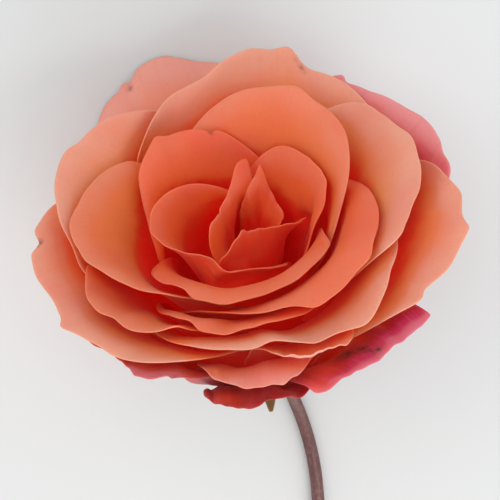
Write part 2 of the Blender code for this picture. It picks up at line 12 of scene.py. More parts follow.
import bpy
import numpy as np
from mathutils import Matrix, Vector
from mathutils.bvhtree import BVHTree

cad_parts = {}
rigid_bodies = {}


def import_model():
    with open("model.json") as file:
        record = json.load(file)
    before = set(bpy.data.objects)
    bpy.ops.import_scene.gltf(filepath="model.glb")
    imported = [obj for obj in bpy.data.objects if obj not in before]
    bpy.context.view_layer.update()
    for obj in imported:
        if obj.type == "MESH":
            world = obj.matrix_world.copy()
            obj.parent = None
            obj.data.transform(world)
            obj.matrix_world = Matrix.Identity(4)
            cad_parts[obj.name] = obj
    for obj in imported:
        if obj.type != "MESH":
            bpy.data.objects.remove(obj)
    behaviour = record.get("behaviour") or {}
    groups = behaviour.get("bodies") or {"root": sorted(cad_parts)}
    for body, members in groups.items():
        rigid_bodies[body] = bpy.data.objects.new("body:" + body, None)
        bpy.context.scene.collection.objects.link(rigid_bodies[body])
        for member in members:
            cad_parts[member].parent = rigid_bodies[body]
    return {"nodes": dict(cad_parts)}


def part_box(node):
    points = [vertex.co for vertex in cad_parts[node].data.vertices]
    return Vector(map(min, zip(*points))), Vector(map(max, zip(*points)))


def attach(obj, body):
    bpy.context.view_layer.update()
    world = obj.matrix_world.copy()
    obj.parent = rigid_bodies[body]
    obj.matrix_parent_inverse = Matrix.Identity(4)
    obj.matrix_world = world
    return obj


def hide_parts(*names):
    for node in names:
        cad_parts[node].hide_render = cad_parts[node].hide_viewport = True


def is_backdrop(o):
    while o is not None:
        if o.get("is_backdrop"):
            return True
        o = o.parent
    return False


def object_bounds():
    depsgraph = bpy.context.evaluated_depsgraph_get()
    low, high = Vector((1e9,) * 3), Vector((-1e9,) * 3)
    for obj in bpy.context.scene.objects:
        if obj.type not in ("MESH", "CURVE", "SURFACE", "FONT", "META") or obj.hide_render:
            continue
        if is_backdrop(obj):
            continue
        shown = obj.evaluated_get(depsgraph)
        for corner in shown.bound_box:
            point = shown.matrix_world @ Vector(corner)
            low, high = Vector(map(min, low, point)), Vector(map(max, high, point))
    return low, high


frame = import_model()
cad_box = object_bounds()
MM = 0.001
print("nodes:", len(frame["nodes"]))

# %% [markdown]
# ## The family of cups
#
# Seen from the side, each petal follows a curve that leaves the receptacle, rises, and turns
# outwards at the rim. A bud's petal stands almost upright, and an old one lies nearly flat. One
# family of curves holds them all: the angle between the blade and the bloom's axis is blended
# between a closed, a half open and a fully open curve by one number, the openness. Lengths are in
# millimetres until the meshes are made.

# %% Curves of the cups
REACHES = (0.0, 10.0, 25.0, 40.0, 58.0)
CLOSED_ANGLES = (10.0, 4.0, -3.0, -8.0, -12.0)
HALF_ANGLES = (52.0, 34.0, 25.0, 26.0, 42.0)
OPEN_ANGLES = (86.0, 66.0, 54.0, 54.0, 78.0)
LONGEST = 66.0
SEAT_RADIUS = 2.0
SEAT_SPREAD = 6.4
SEAT_DOME = 2.6
GRID_OPEN = np.linspace(-0.15, 1.35, 151)
GRID_REACH = np.linspace(0.0, LONGEST, 120)
OPEN_STEP = GRID_OPEN[1] - GRID_OPEN[0]
REACH_STEP = GRID_REACH[1] - GRID_REACH[0]


def cup_angle(openness, reach):
    """Angle from the axis, blended through the three rows."""
    rows = (CLOSED_ANGLES, HALF_ANGLES, OPEN_ANGLES)
    closed, half, wide = (np.interp(reach, REACHES, row) for row in rows)
    return (
        closed * (1 - openness) * (1 - 2 * openness)
        + half * 4 * openness * (1 - openness)
        + wide * openness * (2 * openness - 1)
    )


def seat(openness):
    """Radius and height at which a petal of this openness sits on the receptacle."""
    return SEAT_RADIUS + SEAT_SPREAD * openness, SEAT_DOME * (1 - openness**2)


def running_sum(values):
    """The length gathered up to each reach of the grid."""
    steps = (values[1:] + values[:-1]) / 2 * REACH_STEP
    return np.concatenate([[0.0], np.cumsum(steps)])


def cup_tables():
    """Radius, height and millimetres across the cups per unit of openness, over the grid."""
    angles = np.radians([cup_angle(openness, GRID_REACH) for openness in GRID_OPEN])
    radius = np.array([seat(o)[0] + running_sum(np.sin(a)) for o, a in zip(GRID_OPEN, angles)])
    height = np.array([seat(o)[1] + running_sum(np.cos(a)) for o, a in zip(GRID_OPEN, angles)])
    wider = np.gradient(radius, GRID_OPEN, axis=0)
    lower = np.gradient(height, GRID_OPEN, axis=0)
    return radius, height, wider * np.cos(angles) - lower * np.sin(angles)


RADIUS, HEIGHT, ACROSS = cup_tables()
print("rim radius of a fully open petal:", round(float(RADIUS[115, 100]), 1), "mm")


def between(table, rows, left, up, along):
    """Value of a table between two of its rows and between the columns left and left + 1."""
    near, far = (table[row, left] * (1 - along) + table[row, left + 1] * along for row in rows)
    return near * (1 - up) + far * up


def look_up(table, openness, reach):
    """Value of a table of the cups for each openness and reach."""
    openness, reach = np.broadcast_arrays(np.asarray(openness, float), np.asarray(reach, float))
    i = np.clip((openness - GRID_OPEN[0]) / OPEN_STEP, 0, len(GRID_OPEN) - 1.001)
    j = np.clip(reach / REACH_STEP, 0, len(GRID_REACH) - 1.001)
    low, left = i.astype(int), j.astype(int)
    return between(table, (low, low + 1), left, i - low, j - left)

# %% [markdown]
# ## The petals
#
# The rows below are the rose itself, from the heart outwards: where each petal stands round the
# axis, how open it is, how long and how wide, and what is its own, such as a rolled side or a
# pointed tip. The pairs under rim say how far in mm the rim bulges at a place across the blade, from
# -1 to 1, and those under opens say how much more open the blade is there. They are the rows of the
# engineering model, so the dressed petal has its form.

# %% Rows of petals
CLAW_SHARE = 0.27
WAVE = 0.006
DEFAULTS = {
    "tilt": 0.0, "curl": 0.05, "start": 0.7, "roll": 0.0, "power": 2.0, "shoulder": 0.3,
    "square": 3.5, "skew": 0.0, "neck": 0.66, "rim": ((0, 0),), "opens": ((0, 0),),
}
PETALS = (
    ("inner_petal_1", 44, 0.12, 36.5, 15, {
        "curl": 0.1, "start": 0.3, "shoulder": 0.5, "square": 1.6, "tilt": 0.03, "neck": 0.95,
        "rim": ((-0.95, -2), (-0.85, 5), (-0.4, 0), (-0.15, 1.5), (-0.05, 3.5), (0.15, -3), (0.4, -3.5),
                (0.7, 2), (0.9, 4)),
    }),
    ("inner_petal_2", 146, 0, 38.5, 38, {
        "curl": 0.03, "start": 0.8, "shoulder": 0.15, "skew": 0.08, "roll": 0.24, "tilt": 0.03,
        "power": 3, "neck": 0.8,
        "rim": ((-1, -8), (-0.8, -1.5), (-0.65, 0), (-0.2, -3.5), (0.2, -7), (0.6, -6.5), (0.8, -3.5),
                (0.9, 1), (1, 2)),
    }),
    ("inner_petal_3", 302, 0.11, 37, 27, {
        "curl": 0.02, "roll": 0.2, "tilt": -0.06, "shoulder": 0.1, "square": 4, "neck": 0.5,
        "rim": ((-1, -6), (-0.75, -4), (-0.3, -2), (0.1, 0), (0.3, 1), (0.4, 3), (1, 2)),
    }),
    ("inner_petal_4", 192, 0.26, 39.5, 54, {
        "curl": 0.04, "tilt": -0.04,
        "opens": ((-1, -0.04), (-0.5, -0.08), (-0.15, -0.02), (0.1, 0.04), (0.4, 0.04), (0.8, 0)),
    }),
    ("inner_petal_5", 12, 0.35, 42, 38, {
        "rim": ((-0.8, 1), (-0.35, -1), (0.3, 0), (0.42, -2), (0.6, -9), (1, -12)),
    }),
    ("inner_petal_6", 265, 0.38, 46.5, 52, {
        "curl": 0.12, "start": 0.75,
        "rim": ((-0.1, 0), (0.1, 2), (0.25, 0)),
        "opens": ((-0.9, 0), (-0.25, 0.01), (0.1, 0.01), (0.3, -0.03), (1, -0.05)),
    }),
    ("inner_petal_7", 107, 0.38, 44.5, 42, {
        "curl": 0.06, "shoulder": 0.2, "square": 5, "tilt": 0.02,
        "rim": ((-0.8, -7), (-0.6, -0.5), (-0.35, 1.5), (-0.2, 3), (-0.1, 1), (0.25, -0.5), (0.32, -2),
                (0.42, -1.5), (0.6, -4.5), (0.75, -7), (1, -9)),
    }),
    ("middle_petal_1", 42, 0.43, 52, 60, {
        "rim": ((-0.8, -1), (-0.3, -0.5), (-0.05, 1), (0.1, -1), (0.45, -1), (0.65, -1.5), (0.8, -4)),
    }),
    ("middle_petal_2", 190, 0.49, 53, 60, {
        "rim": ((-1, -5), (-0.3, -2.5), (-0.15, 0), (0.05, -1), (0.25, 0.5), (0.5, -0.5), (0.7, 1),
                (0.85, 4), (1, 8)),
        "opens": ((-0.8, -0.09), (-0.4, -0.03), (0, 0)),
    }),
    ("middle_petal_3", 302, 0.5, 52, 64, {
        "curl": 0.1, "start": 0.75,
        "rim": ((-1, 1), (-0.7, -1.5), (-0.35, -1), (-0.2, 1.5), (-0.1, -0.5), (0.1, 0)),
        "opens": ((-0.8, -0.03), (-0.5, -0.01), (0, 0)),
    }),
    ("middle_petal_4", 262, 0.54, 51, 46, {
        "curl": 0.06, "start": 0.75,
        "opens": ((-0.4, 0), (-0.15, 0.015), (0.1, 0.01), (0.35, -0.02), (0.6, -0.035)),
    }),
    ("middle_petal_5", 220, 0.58, 54, 44, {
        "curl": 0.03,
        "rim": ((-1, -4), (-0.3, -2), (-0.1, -0.5), (0.1, -2.5), (0.3, -0.5), (0.7, 0), (0.9, 5)),
        "opens": ((-1, -0.09), (-0.6, -0.06), (-0.5, -0.03), (-0.35, 0.01), (-0.15, 0.015), (0, 0)),
    }),
    ("middle_petal_6", 358, 0.6, 57, 60, {
        "curl": 0.04,
        "rim": ((-0.85, 0.5), (-0.7, -0.5), (-0.5, -2.5), (-0.3, -2.5), (-0.1, -0.5), (0.1, -1), (0.55, -1),
                (0.7, 2), (0.8, 5)),
    }),
    ("outer_petal_1", 285, 0.6, 54, 74, {
        "start": 0.75,
        "opens": ((-1, -0.03), (-0.75, -0.04), (-0.65, -0.01), (-0.5, 0.04), (-0.3, 0.085), (-0.15, 0.095),
                  (0.05, 0.1), (0.15, 0.06), (0.22, 0), (0.28, -0.02), (0.35, 0), (0.6, -0.005), (1, -0.02)),
    }),
    ("outer_petal_2", 66, 0.64, 57.5, 76, {
        "curl": 0, "tilt": 0.12, "skew": 0.04,
        "rim": ((-1, 6), (-0.85, 2), (-0.7, 0), (-0.55, -2.5), (-0.4, -3.5), (-0.3, -1.5), (-0.1, 0.5),
                (0.05, -0.5), (0.14, 0.8), (0.18, 0), (0.2, -2.5), (0.28, -4.5), (0.6, -4), (1, -3)),
    }),
    ("outer_petal_3", 151.5, 0.57, 56.5, 64, {
        "curl": 0.01,
        "rim": ((-0.7, -4.5), (-0.4, -2), (-0.1, 0), (0.2, 0.5), (0.3, -1), (0.5, 0), (0.7, 1.5), (0.9, 4)),
    }),
    ("outer_petal_4", 204, 0.67, 57.5, 72, {
        "curl": 0.03,
        "rim": ((-1, -6), (-0.8, -6), (-0.75, -3), (-0.65, 0), (-0.45, -0.5), (-0.35, -1.5), (-0.2, -1.5),
                (-0.06, 0.5), (0, -2), (0.2, -4), (0.4, -1.5), (0.6, 1), (0.64, 2), (0.68, -1.5),
                (0.74, 4), (0.85, 6), (1, 11)),
    }),
    ("outer_petal_5", 281, 0.7, 54.5, 24, {
        "curl": 0.02, "shoulder": 0.2, "square": 5, "neck": 0.5,
        "opens": ((-0.6, 0.02), (0, 0), (0.4, -0.03), (1, -0.06)),
    }),
    ("outer_petal_6", 264, 0.735, 55.5, 28, {
        "curl": 0.03, "shoulder": 0.2, "square": 5, "neck": 0.5,
        "rim": ((-1, -6), (-0.8, -5), (-0.6, -1.5), (-0.45, 2), (-0.1, 0), (0.2, -2), (0.45, -6), (1, -6)),
    }),
    ("outer_petal_7", 334, 0.77, 58, 54, {
        "curl": 0.04,
        "rim": ((-1, 5), (-0.8, 2.5), (-0.65, 0), (-0.4, -1), (-0.2, -1.5), (-0.05, 1), (0.1, -1),
                (0.3, -1.5), (0.55, -3), (0.7, 1.5), (0.8, 0)),
    }),
    ("guard_petal_1", 224, 0.72, 53, 30, {
        "curl": 0.02, "shoulder": 0.15, "square": 5,
        "rim": ((-1, 3), (-0.9, 4), (-0.8, 0), (-0.7, 2), (-0.45, 2.5), (-0.2, 0), (0, -2), (0.3, -3.5),
                (0.5, -2), (0.8, 1), (1, 6)),
    }),
    ("guard_petal_2", 22, 0.78, 57.5, 60, {
        "curl": 0.02,
        "rim": ((-0.8, 2), (-0.68, 1), (-0.62, -2.5), (-0.4, -4.5), (0, -3.5), (0.15, -2.5), (0.4, -1.5),
                (0.6, 0), (0.8, 5)),
    }),
    ("guard_petal_3", 97, 0.78, 60.5, 42, {
        "curl": 0.03, "roll": 0.12, "shoulder": 0.16, "square": 6,
        "rim": ((-0.9, -1.5), (-0.7, -3), (-0.55, -3), (-0.48, -1), (-0.42, -4), (-0.36, -1), (-0.1, 0),
                (0.1, -0.5), (0.3, -3), (0.5, -4.5), (0.7, -5), (0.9, -4.8)),
        "opens": ((0.2, 0), (0.5, 0.015), (0.7, 0.02), (1, 0.05)),
    }),
    ("guard_petal_4", 296, 0.85, 51, 32, {
        "curl": 0.03, "shoulder": 0.1, "square": 5,
        "rim": ((-1, 7), (-0.85, 3.5), (-0.6, 1), (0, 0), (0.3, -2.5), (0.6, -1), (0.9, 3.5)),
    }),
    ("guard_petal_5", 262, 0.84, 50.5, 24, {
        "curl": 0.02, "shoulder": 0.15, "square": 5,
        "rim": ((-0.7, -1), (-0.3, -1.5), (0, 0.5), (0.3, -1.5), (0.6, -1), (0.9, -2)),
    }),
)
CELLS = 36
ACROSS_PLACES = np.linspace(-1, 1, CELLS + 1)
ALONG_PLACES = np.linspace(0, 1, CELLS + 1)
COLUMNS = (0, 3, 6, 9, 12, 15, 18, 21, 24, 27, 30, 33, 36)
ROWS = (0, 5, 10, 16, 22, 27, 31, 34, 36)
FEET = (0, -10, 10, -20, 20, -30, 30, -40, 40)
print("petals:", len(PETALS))

# %% [markdown]
# ## The plan of one petal
#
# A rose petal is a broad, blunt blade on a narrow claw. Its plan is laid out on a square grid: one
# way runs across the blade and the other from the claw to the rim, and the rim is drawn down at
# the shoulders.

# %% Plan of a petal


def across(marks, u):
    """The amounts of some marks across a blade, joined by straight lines."""
    return np.interp(u, *zip(*marks))


def plan(petal, foot):
    """Azimuth in degrees and reach in mm of the petal's own grid of CELLS by CELLS."""
    u, v = ACROSS_PLACES[None, :], ALONG_PLACES[:, None]
    drop = petal["shoulder"] * np.abs(u) ** petal["square"] - petal["skew"] * u
    drop = drop - across(petal["rim"], u) / petal["length"]
    straight = np.clip((drop - 0.35) / 0.1, 0, 1)
    reach = petal["length"] * (v - drop * v * (v + straight * (1 - v)))
    neck = petal["neck"]
    grow = np.clip(v / neck, 0, 1)
    grow = grow * grow * (3 - 2 * grow)
    seat_radius = seat(petal["openness"])[0]
    claw = CLAW_SHARE * seat_radius
    half = claw + (petal["width"] / 2 - claw) * grow
    half = half * (1 - 0.06 * np.clip((v - neck) / (1.001 - neck), 0, 1) ** 2)
    middle = look_up(RADIUS, max(petal["openness"], 0.22), reach)
    turn = foot * np.clip(1 - v / 0.55, 0, 1) ** 2
    azimuth = petal["azimuth"] + turn - np.degrees(u * half / np.maximum(middle, seat_radius))
    return u, v, azimuth, reach


def to_points(azimuth, reach, openness):
    """Points in mm in the bloom's own frame."""
    radius = look_up(RADIUS, openness, reach)
    angle = np.radians(azimuth)
    height = look_up(HEIGHT, openness, reach)
    return np.stack([radius * np.cos(angle), radius * np.sin(angle), height], axis=-1)


print("points of one petal's mid surface:", (CELLS + 1) ** 2)

# %% [markdown]
# ## Nesting
#
# Real petals press on one another and never cross. The petals are laid one by one on a field that
# keeps, for each direction and each height, how open the petals inside it already are; each new
# blade is eased clear of that. Then, from outside inwards, the curls of the rims are held back
# where the next petal out is in their way. A field is used here rather than a cloth simulation,
# because it keeps every petal where the picture has it and gives the same rose on every run.

# %% A field of openness
TURNS = 180
REACH_BINS = 67


def read_field(field, azimuth, reach):
    """What the field holds at each azimuth and reach."""
    i = (azimuth / 2.0) % TURNS
    j = np.clip(reach, 0, REACH_BINS - 1.001)
    low, left = np.floor(i).astype(int), j.astype(int)
    return between(field, (low % TURNS, (low + 1) % TURNS), left, i - low, j - left)


def spread(values, rows, columns, places):
    """A grid's values, known at some rows and columns, at each pair of the new places."""
    wide = np.array([np.interp(places, columns, row) for row in values])
    return np.array([np.interp(places, rows, column) for column in wide.T]).T


def refine(values):
    """The same grid with five steps in each cell."""
    values = np.broadcast_to(values, (CELLS + 1, CELLS + 1))
    old = np.arange(CELLS + 1)
    return spread(values, old, old, np.linspace(0, CELLS, 5 * CELLS + 1))


def lay_on_field(azimuth, reach, openness):
    """The largest openness that a blade has in each bin, grown by two bins round it."""
    field = np.full((TURNS, REACH_BINS), -9.0)
    i = np.round(refine(azimuth) / 2.0).astype(int) % TURNS
    j = np.clip(np.round(refine(reach)).astype(int), 0, REACH_BINS - 1)
    np.maximum.at(field, (i, j), refine(openness))
    for _ in range(2):
        field = np.maximum(field, np.maximum(np.roll(field, 1, 0), np.roll(field, -1, 0)))
        grown = field.copy()
        grown[:, 1:] = np.maximum(grown[:, 1:], field[:, :-1])
        grown[:, :-1] = np.maximum(grown[:, :-1], field[:, 1:])
        field = grown
    return field


def blur(field):
    """The field, softened over its nearest bins."""
    for _ in range(2):
        field = (field + np.roll(field, 1, 0) + np.roll(field, -1, 0)) / 3
        padded = np.pad(field, ((0, 0), (1, 1)), mode="edge")
        field = (padded[:, :-2] + padded[:, 1:-1] + padded[:, 2:]) / 3
    return field


print("bins of the field:", TURNS * REACH_BINS)

# %% [markdown]
# With the field, nesting is two walks through the rows: outwards, to push each blade clear of those
# inside it, and back inwards, to hold its curl and its wave clear of those outside it. A claw may
# also turn a little round the receptacle, to find its seat between the claws that are there.

# %% Nesting the petals
WAY_REACH = (0.0, 8.0, 20.0, 60.0)
WAY_LEFT = (1.3, 1.2, 1.35, 1.35)


def soft_above(values, floor):
    """values, eased so that they stay above the floor."""
    softness = 0.012
    t = (values - floor) / softness
    return floor + softness * np.where(t > 30, t, np.log1p(np.exp(np.minimum(t, 30))))


def way(openness, reach):
    """The free way between two blades, as a difference of openness."""
    return np.interp(reach, WAY_REACH, WAY_LEFT) / np.maximum(look_up(ACROSS, openness, reach), 3.0)


def best_foot(petal, floor):
    """The turn of the claw that is in the way of the fewest claws inside it."""
    best, found = 9.0, 0
    for foot in FEET:
        _, _, azimuth, reach = plan(petal, foot)
        push = read_field(floor, azimuth, reach) - petal["openness"] + 0.03
        cost = float(np.clip(push, 0, 9)[:16].max()) + 0.0004 * abs(foot)
        if cost < best - 1e-6:
            best, found = cost, foot
    return found


def nest(petals):
    """Openness of each blade at each point. From the heart outwards each blade is pushed clear of
    those inside it, and then from outside inwards the curls and waves are held clear of it."""
    floor = np.full((TURNS, REACH_BINS), -0.4)
    for petal in petals:
        u, v, azimuth, reach = plan(petal, best_foot(petal, floor))
        wanted = petal["openness"] + petal["tilt"] * u * v**1.5
        wanted = wanted + petal["roll"] * np.abs(u) ** petal["power"] * v**2
        wanted = wanted + across(petal["opens"], u) * v**2
        calm = soft_above(wanted, read_field(floor, azimuth, reach))
        petal["plan"], petal["calm"] = (u, v, azimuth, reach), calm
        laid = lay_on_field(azimuth, reach, calm + way(calm, reach))
        floor = np.maximum(floor, blur(np.maximum(floor, laid)))
    ceiling = np.full((TURNS, REACH_BINS), 3.0)
    for petal in reversed(petals):
        u, v, azimuth, reach = petal["plan"]
        rise = np.clip((v - petal["start"]) / (1 - petal["start"]), 0, 1)
        extra = petal["curl"] * rise**2 + WAVE * np.sin(2 * np.pi * u) * v**3
        openness = petal["calm"] + extra
        limit = np.maximum(read_field(ceiling, azimuth, reach), petal["calm"])
        openness = np.where(extra > 0, -soft_above(-openness, -limit), openness)
        laid = lay_on_field(azimuth, reach, way(openness, reach) - openness)
        ceiling = np.minimum(ceiling, -np.where(laid > -3, laid, -3.0))
        petal["surface"] = to_points(azimuth, reach, openness)


def grow_petals():
    """Every petal with its row filled in, nested among the others."""
    petals = []
    for name, azimuth, openness, length, width, rest in PETALS:
        petal = dict(DEFAULTS, name=name, azimuth=azimuth, openness=openness, length=length, width=width)
        petal.update(rest)
        petals.append(petal)
    nest(petals)
    return petals


NESTED = grow_petals()
print("most open petal point:", round(float(max(p["calm"].max() for p in NESTED)), 2))

# %% [markdown]
# The engineering model then compares the flat facets of its coarser blades, and presses each blade
# outwards where a facet comes too close to one inside it. The same small moves are worked out here
# and spread over the finer grid, so that both rose and solids keep the same gaps.

# %% Pressing the blades apart
CLEAR = 1.04
PRESSES = 14
SEARCH = 1.6
LEAST_MOVE = 0.02
SHARE_OF_MOVE = 0.8


def unit(vectors):
    """The same directions, with a length of 1."""
    return vectors / np.linalg.norm(vectors, axis=-1, keepdims=True)


def outward(grid):
    """The normals of a grid of points, away from the bloom's axis."""
    return unit(np.cross(np.gradient(grid, axis=0), np.gradient(grid, axis=1)))


def facets(tall, wide):
    """Two triangles in each cell of a grid, facing outwards."""
    faces = []
    for i in range(tall - 1):
        for j in range(wide - 1):
            a = i * wide + j
            faces += [(a, a + wide + 1, a + 1), (a, a + wide, a + wide + 1)]
    return faces


def links(tall, wide):
    """Both ends of each grid point, edge and diagonal, where two blades are compared."""
    index = np.arange(tall * wide).reshape(tall, wide)
    pairs = [(index, index), (index[:, :-1], index[:, 1:]), (index[:-1], index[1:])]
    pairs.append((index[:-1, :-1], index[1:, 1:]))
    return np.concatenate([np.stack([a.ravel(), b.ravel()], axis=1) for a, b in pairs])


def pushes(samples, tree, side):
    """How far each sample still has to move outwards (side 1) or the facets do (side -1)."""
    for number, point in enumerate(samples):
        place, normal, face, distance = tree.find_nearest(Vector(point), SEARCH)
        if place is None:
            continue
        outside = side * (Vector(point) - place).dot(normal)
        beside = abs(outside) < 0.7 * distance
        lacking = CLEAR - (distance if beside and outside > 0 else outside)
        if lacking > 0 and not (beside and distance > CLEAR):
            yield number, face, lacking


def press_apart(grids):
    """Each blade in turn is pressed outwards until its facets clear those of the blades inside it."""
    tall, wide = grids[0].shape[:2]
    faces = facets(tall, wide)
    ends = links(tall, wide)
    trees = []
    for grid in grids:
        points = grid.reshape(-1, 3)
        normal = outward(grid).reshape(-1, 3)
        for _ in range(PRESSES):
            move = np.zeros(len(points))
            own = BVHTree.FromPolygons([tuple(point) for point in points], faces)
            middles = (points[ends[:, 0]] + points[ends[:, 1]]) / 2
            for inside, tree in trees:
                for number, _, lacking in pushes(middles, tree, 1):
                    for end in ends[number]:
                        move[end] = max(move[end], lacking)
                inner = (inside[ends[:, 0]] + inside[ends[:, 1]]) / 2
                for _, face, lacking in pushes(inner, own, -1):
                    for corner in faces[face]:
                        move[corner] = max(move[corner], lacking)
            if move.max() < LEAST_MOVE:
                break
            points += normal * move[:, None] * SHARE_OF_MOVE
        trees.append((points, BVHTree.FromPolygons([tuple(point) for point in points], faces)))


FINE = np.arange(CELLS + 1)
coarse = [petal["surface"][np.ix_(ROWS, COLUMNS)] for petal in NESTED]
pressed = [grid.copy() for grid in coarse]
press_apart(pressed)
for petal, before, after in zip(NESTED, coarse, pressed):
    moves = np.moveaxis(after - before, -1, 0)
    moves = np.stack([spread(move, ROWS, COLUMNS, FINE) for move in moves], axis=-1)
    petal["surface"] = petal["surface"] + moves
    petal["solid"] = after
most = max(np.abs(after - before).max() for before, after in zip(coarse, pressed))
print("largest move:", round(float(most), 2), "mm")

# %% [markdown]
# ## How the rose lies
#
# Cut and put down, the rose rests on the rim of one guard petal and on its stem. The bloom's own
# frame, with its axis upright, is turned into the frame of the table, and its place is read from
# where the engineering model's own blade lies.

# %% From the bloom's frame to the table's
BLADE = 0.66
LEAN = 38.0
SPIN = -5.5


def pose():
    """Turns the bloom's frame into the table's: axis up by LEAN over +Y, after SPIN round it."""
    spin, lean = math.radians(SPIN), math.radians(LEAN)
    turn = np.array(
        [[math.cos(spin), -math.sin(spin), 0], [math.sin(spin), math.cos(spin), 0], [0, 0, 1]]
    )
    lay = np.array(
        [[1, 0, 0], [0, math.sin(lean), math.cos(lean)], [0, -math.cos(lean), math.sin(lean)]]
    )
    return lay @ turn


lay = pose()
anchor = next(petal["solid"] for petal in NESTED if petal["name"] == "outer_petal_2")
half_blade = outward(anchor) * BLADE / 2
both_faces = np.concatenate([anchor + half_blade, anchor - half_blade]).reshape(-1, 3)
origin = np.array(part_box("outer_petal_2")[0]) / MM - (both_faces @ lay.T).min(axis=0)
print("receptacle at", origin.round(2), "mm")


def to_table(points):
    """Points of the bloom's frame in mm, as places on the table in metres."""
    return (np.asarray(points) @ lay.T + origin) * MM

# %% [markdown]
# ## Colours of a petal
#
# The upper face is coral: red at the claw, orange on the blade, salmon further up, and a thin pale
# line along the rim. The under face is pinker. Fine veins run out from the claw. A photograph of
# the flower would give the colours, but not from other sides, so they are made from nodes: each
# petal carries its own map, across and along the blade, and the distance to its rim, and the colour
# follows those. A vein is a streak of noise that is long along the blade and narrow across it. The
# helpers below each add a few nodes, and every finish in this file is built of them.

# %% Helpers for the materials


def add(tree, kind, **values):
    """A node with some of its settings and unlinked inputs set."""
    node = tree.nodes.new(kind)
    for key, value in values.items():
        if hasattr(node, key):
            setattr(node, key, value)
        else:
            node.inputs[key.replace("_", " ")].default_value = value
    return node


def curve(tree, source, stops):
    """A colour ramp with these places and colours, read at the source."""
    ramp = tree.nodes.new("ShaderNodeValToRGB")
    ramp.color_ramp.interpolation = "EASE"
    marks = ramp.color_ramp.elements
    while len(marks) > 1:
        marks.remove(marks[-1])
    marks[0].position, marks[0].color = stops[0][0], (*stops[0][1], 1)
    for place, colour in stops[1:]:
        mark = marks.new(place)
        mark.color = (*colour, 1)
    tree.links.new(source, ramp.inputs["Fac"])
    return ramp.outputs["Color"]


def blend(tree, amount, first, second):
    """Two colours mixed by an amount that is a number or a socket."""
    mix = tree.nodes.new("ShaderNodeMix")
    mix.data_type, mix.clamp_factor = "RGBA", True
    for name, value in ((0, amount), (6, first), (7, second)):
        if hasattr(value, "is_linked"):
            tree.links.new(value, mix.inputs[name])
        elif name == 0:
            mix.inputs[0].default_value = value
        else:
            mix.inputs[name].default_value = (*value, 1)
    return mix.outputs[2]


def count(tree, operation, first, second=0.0, third=0.0):
    """One sum on numbers or sockets."""
    node = tree.nodes.new("ShaderNodeMath")
    node.operation = operation
    for slot, value in enumerate((first, second, third)):
        if hasattr(value, "is_linked"):
            tree.links.new(value, node.inputs[slot])
        else:
            node.inputs[slot].default_value = value
    return node.outputs[0]


def range_of(tree, source, low, high, to_low=0.0, to_high=1.0):
    """The source, stretched from low..high to new ends, with soft ends."""
    node = tree.nodes.new("ShaderNodeMapRange")
    node.interpolation_type = "SMOOTHSTEP"
    tree.links.new(source, node.inputs["Value"])
    for name, value in zip(("From Min", "From Max", "To Min", "To Max"), (low, high, to_low, to_high)):
        node.inputs[name].default_value = value
    return node.outputs["Result"]


def noise(tree, vector, scale, detail=2.0, roughness=0.5):
    node = add(tree, "ShaderNodeTexNoise", Scale=scale, Detail=detail, Roughness=roughness)
    tree.links.new(vector, node.inputs["Vector"])
    return node.outputs["Fac"]


def stretched(tree, vector, wide, along, shift=0.0, far=1.0):
    """A piece's own map, stretched to make streaks."""
    node = tree.nodes.new("ShaderNodeMapping")
    node.inputs["Scale"].default_value = (wide, along, far)
    node.inputs["Location"].default_value = (shift, shift * 0.37, shift * 1.7)
    tree.links.new(vector, node.inputs["Vector"])
    return node.outputs["Vector"]


def new_material(name, roughness, subsurface=0.0, depth=0.002):
    """A material, and how far in metres light spreads below its surface."""
    material = bpy.data.materials.new(name)
    material.use_nodes = True
    shader = material.node_tree.nodes["Principled BSDF"]
    shader.inputs["Roughness"].default_value = roughness
    shader.inputs["Subsurface Weight"].default_value = subsurface
    shader.inputs["Subsurface Scale"].default_value = depth
    shader.inputs["Subsurface Radius"].default_value = (1.0, 0.35, 0.2)
    return material, material.node_tree, shader


def stored(tree, name, output="Fac"):
    """A number, or a Vector, that is stored on the mesh."""
    return add(tree, "ShaderNodeAttribute", attribute_name=name).outputs[output]


def part_of(tree, vector, axis):
    """One of the three numbers of a vector."""
    split = tree.nodes.new("ShaderNodeSeparateXYZ")
    tree.links.new(vector, split.inputs[0])
    return split.outputs[axis]


def object_place(tree):
    return tree.nodes.new("ShaderNodeTexCoord").outputs["Object"]


def paint(tree, shader, colour, height, strength, depth):
    """Gives the surface its colour, and a relief of this strength and depth in metres."""
    tree.links.new(colour, shader.inputs["Base Color"])
    bump = add(tree, "ShaderNodeBump", Strength=strength, Distance=depth)
    tree.links.new(height, bump.inputs["Height"])
    tree.links.new(bump.outputs["Normal"], shader.inputs["Normal"])


print("materials before the finishes:", len(bpy.data.materials))
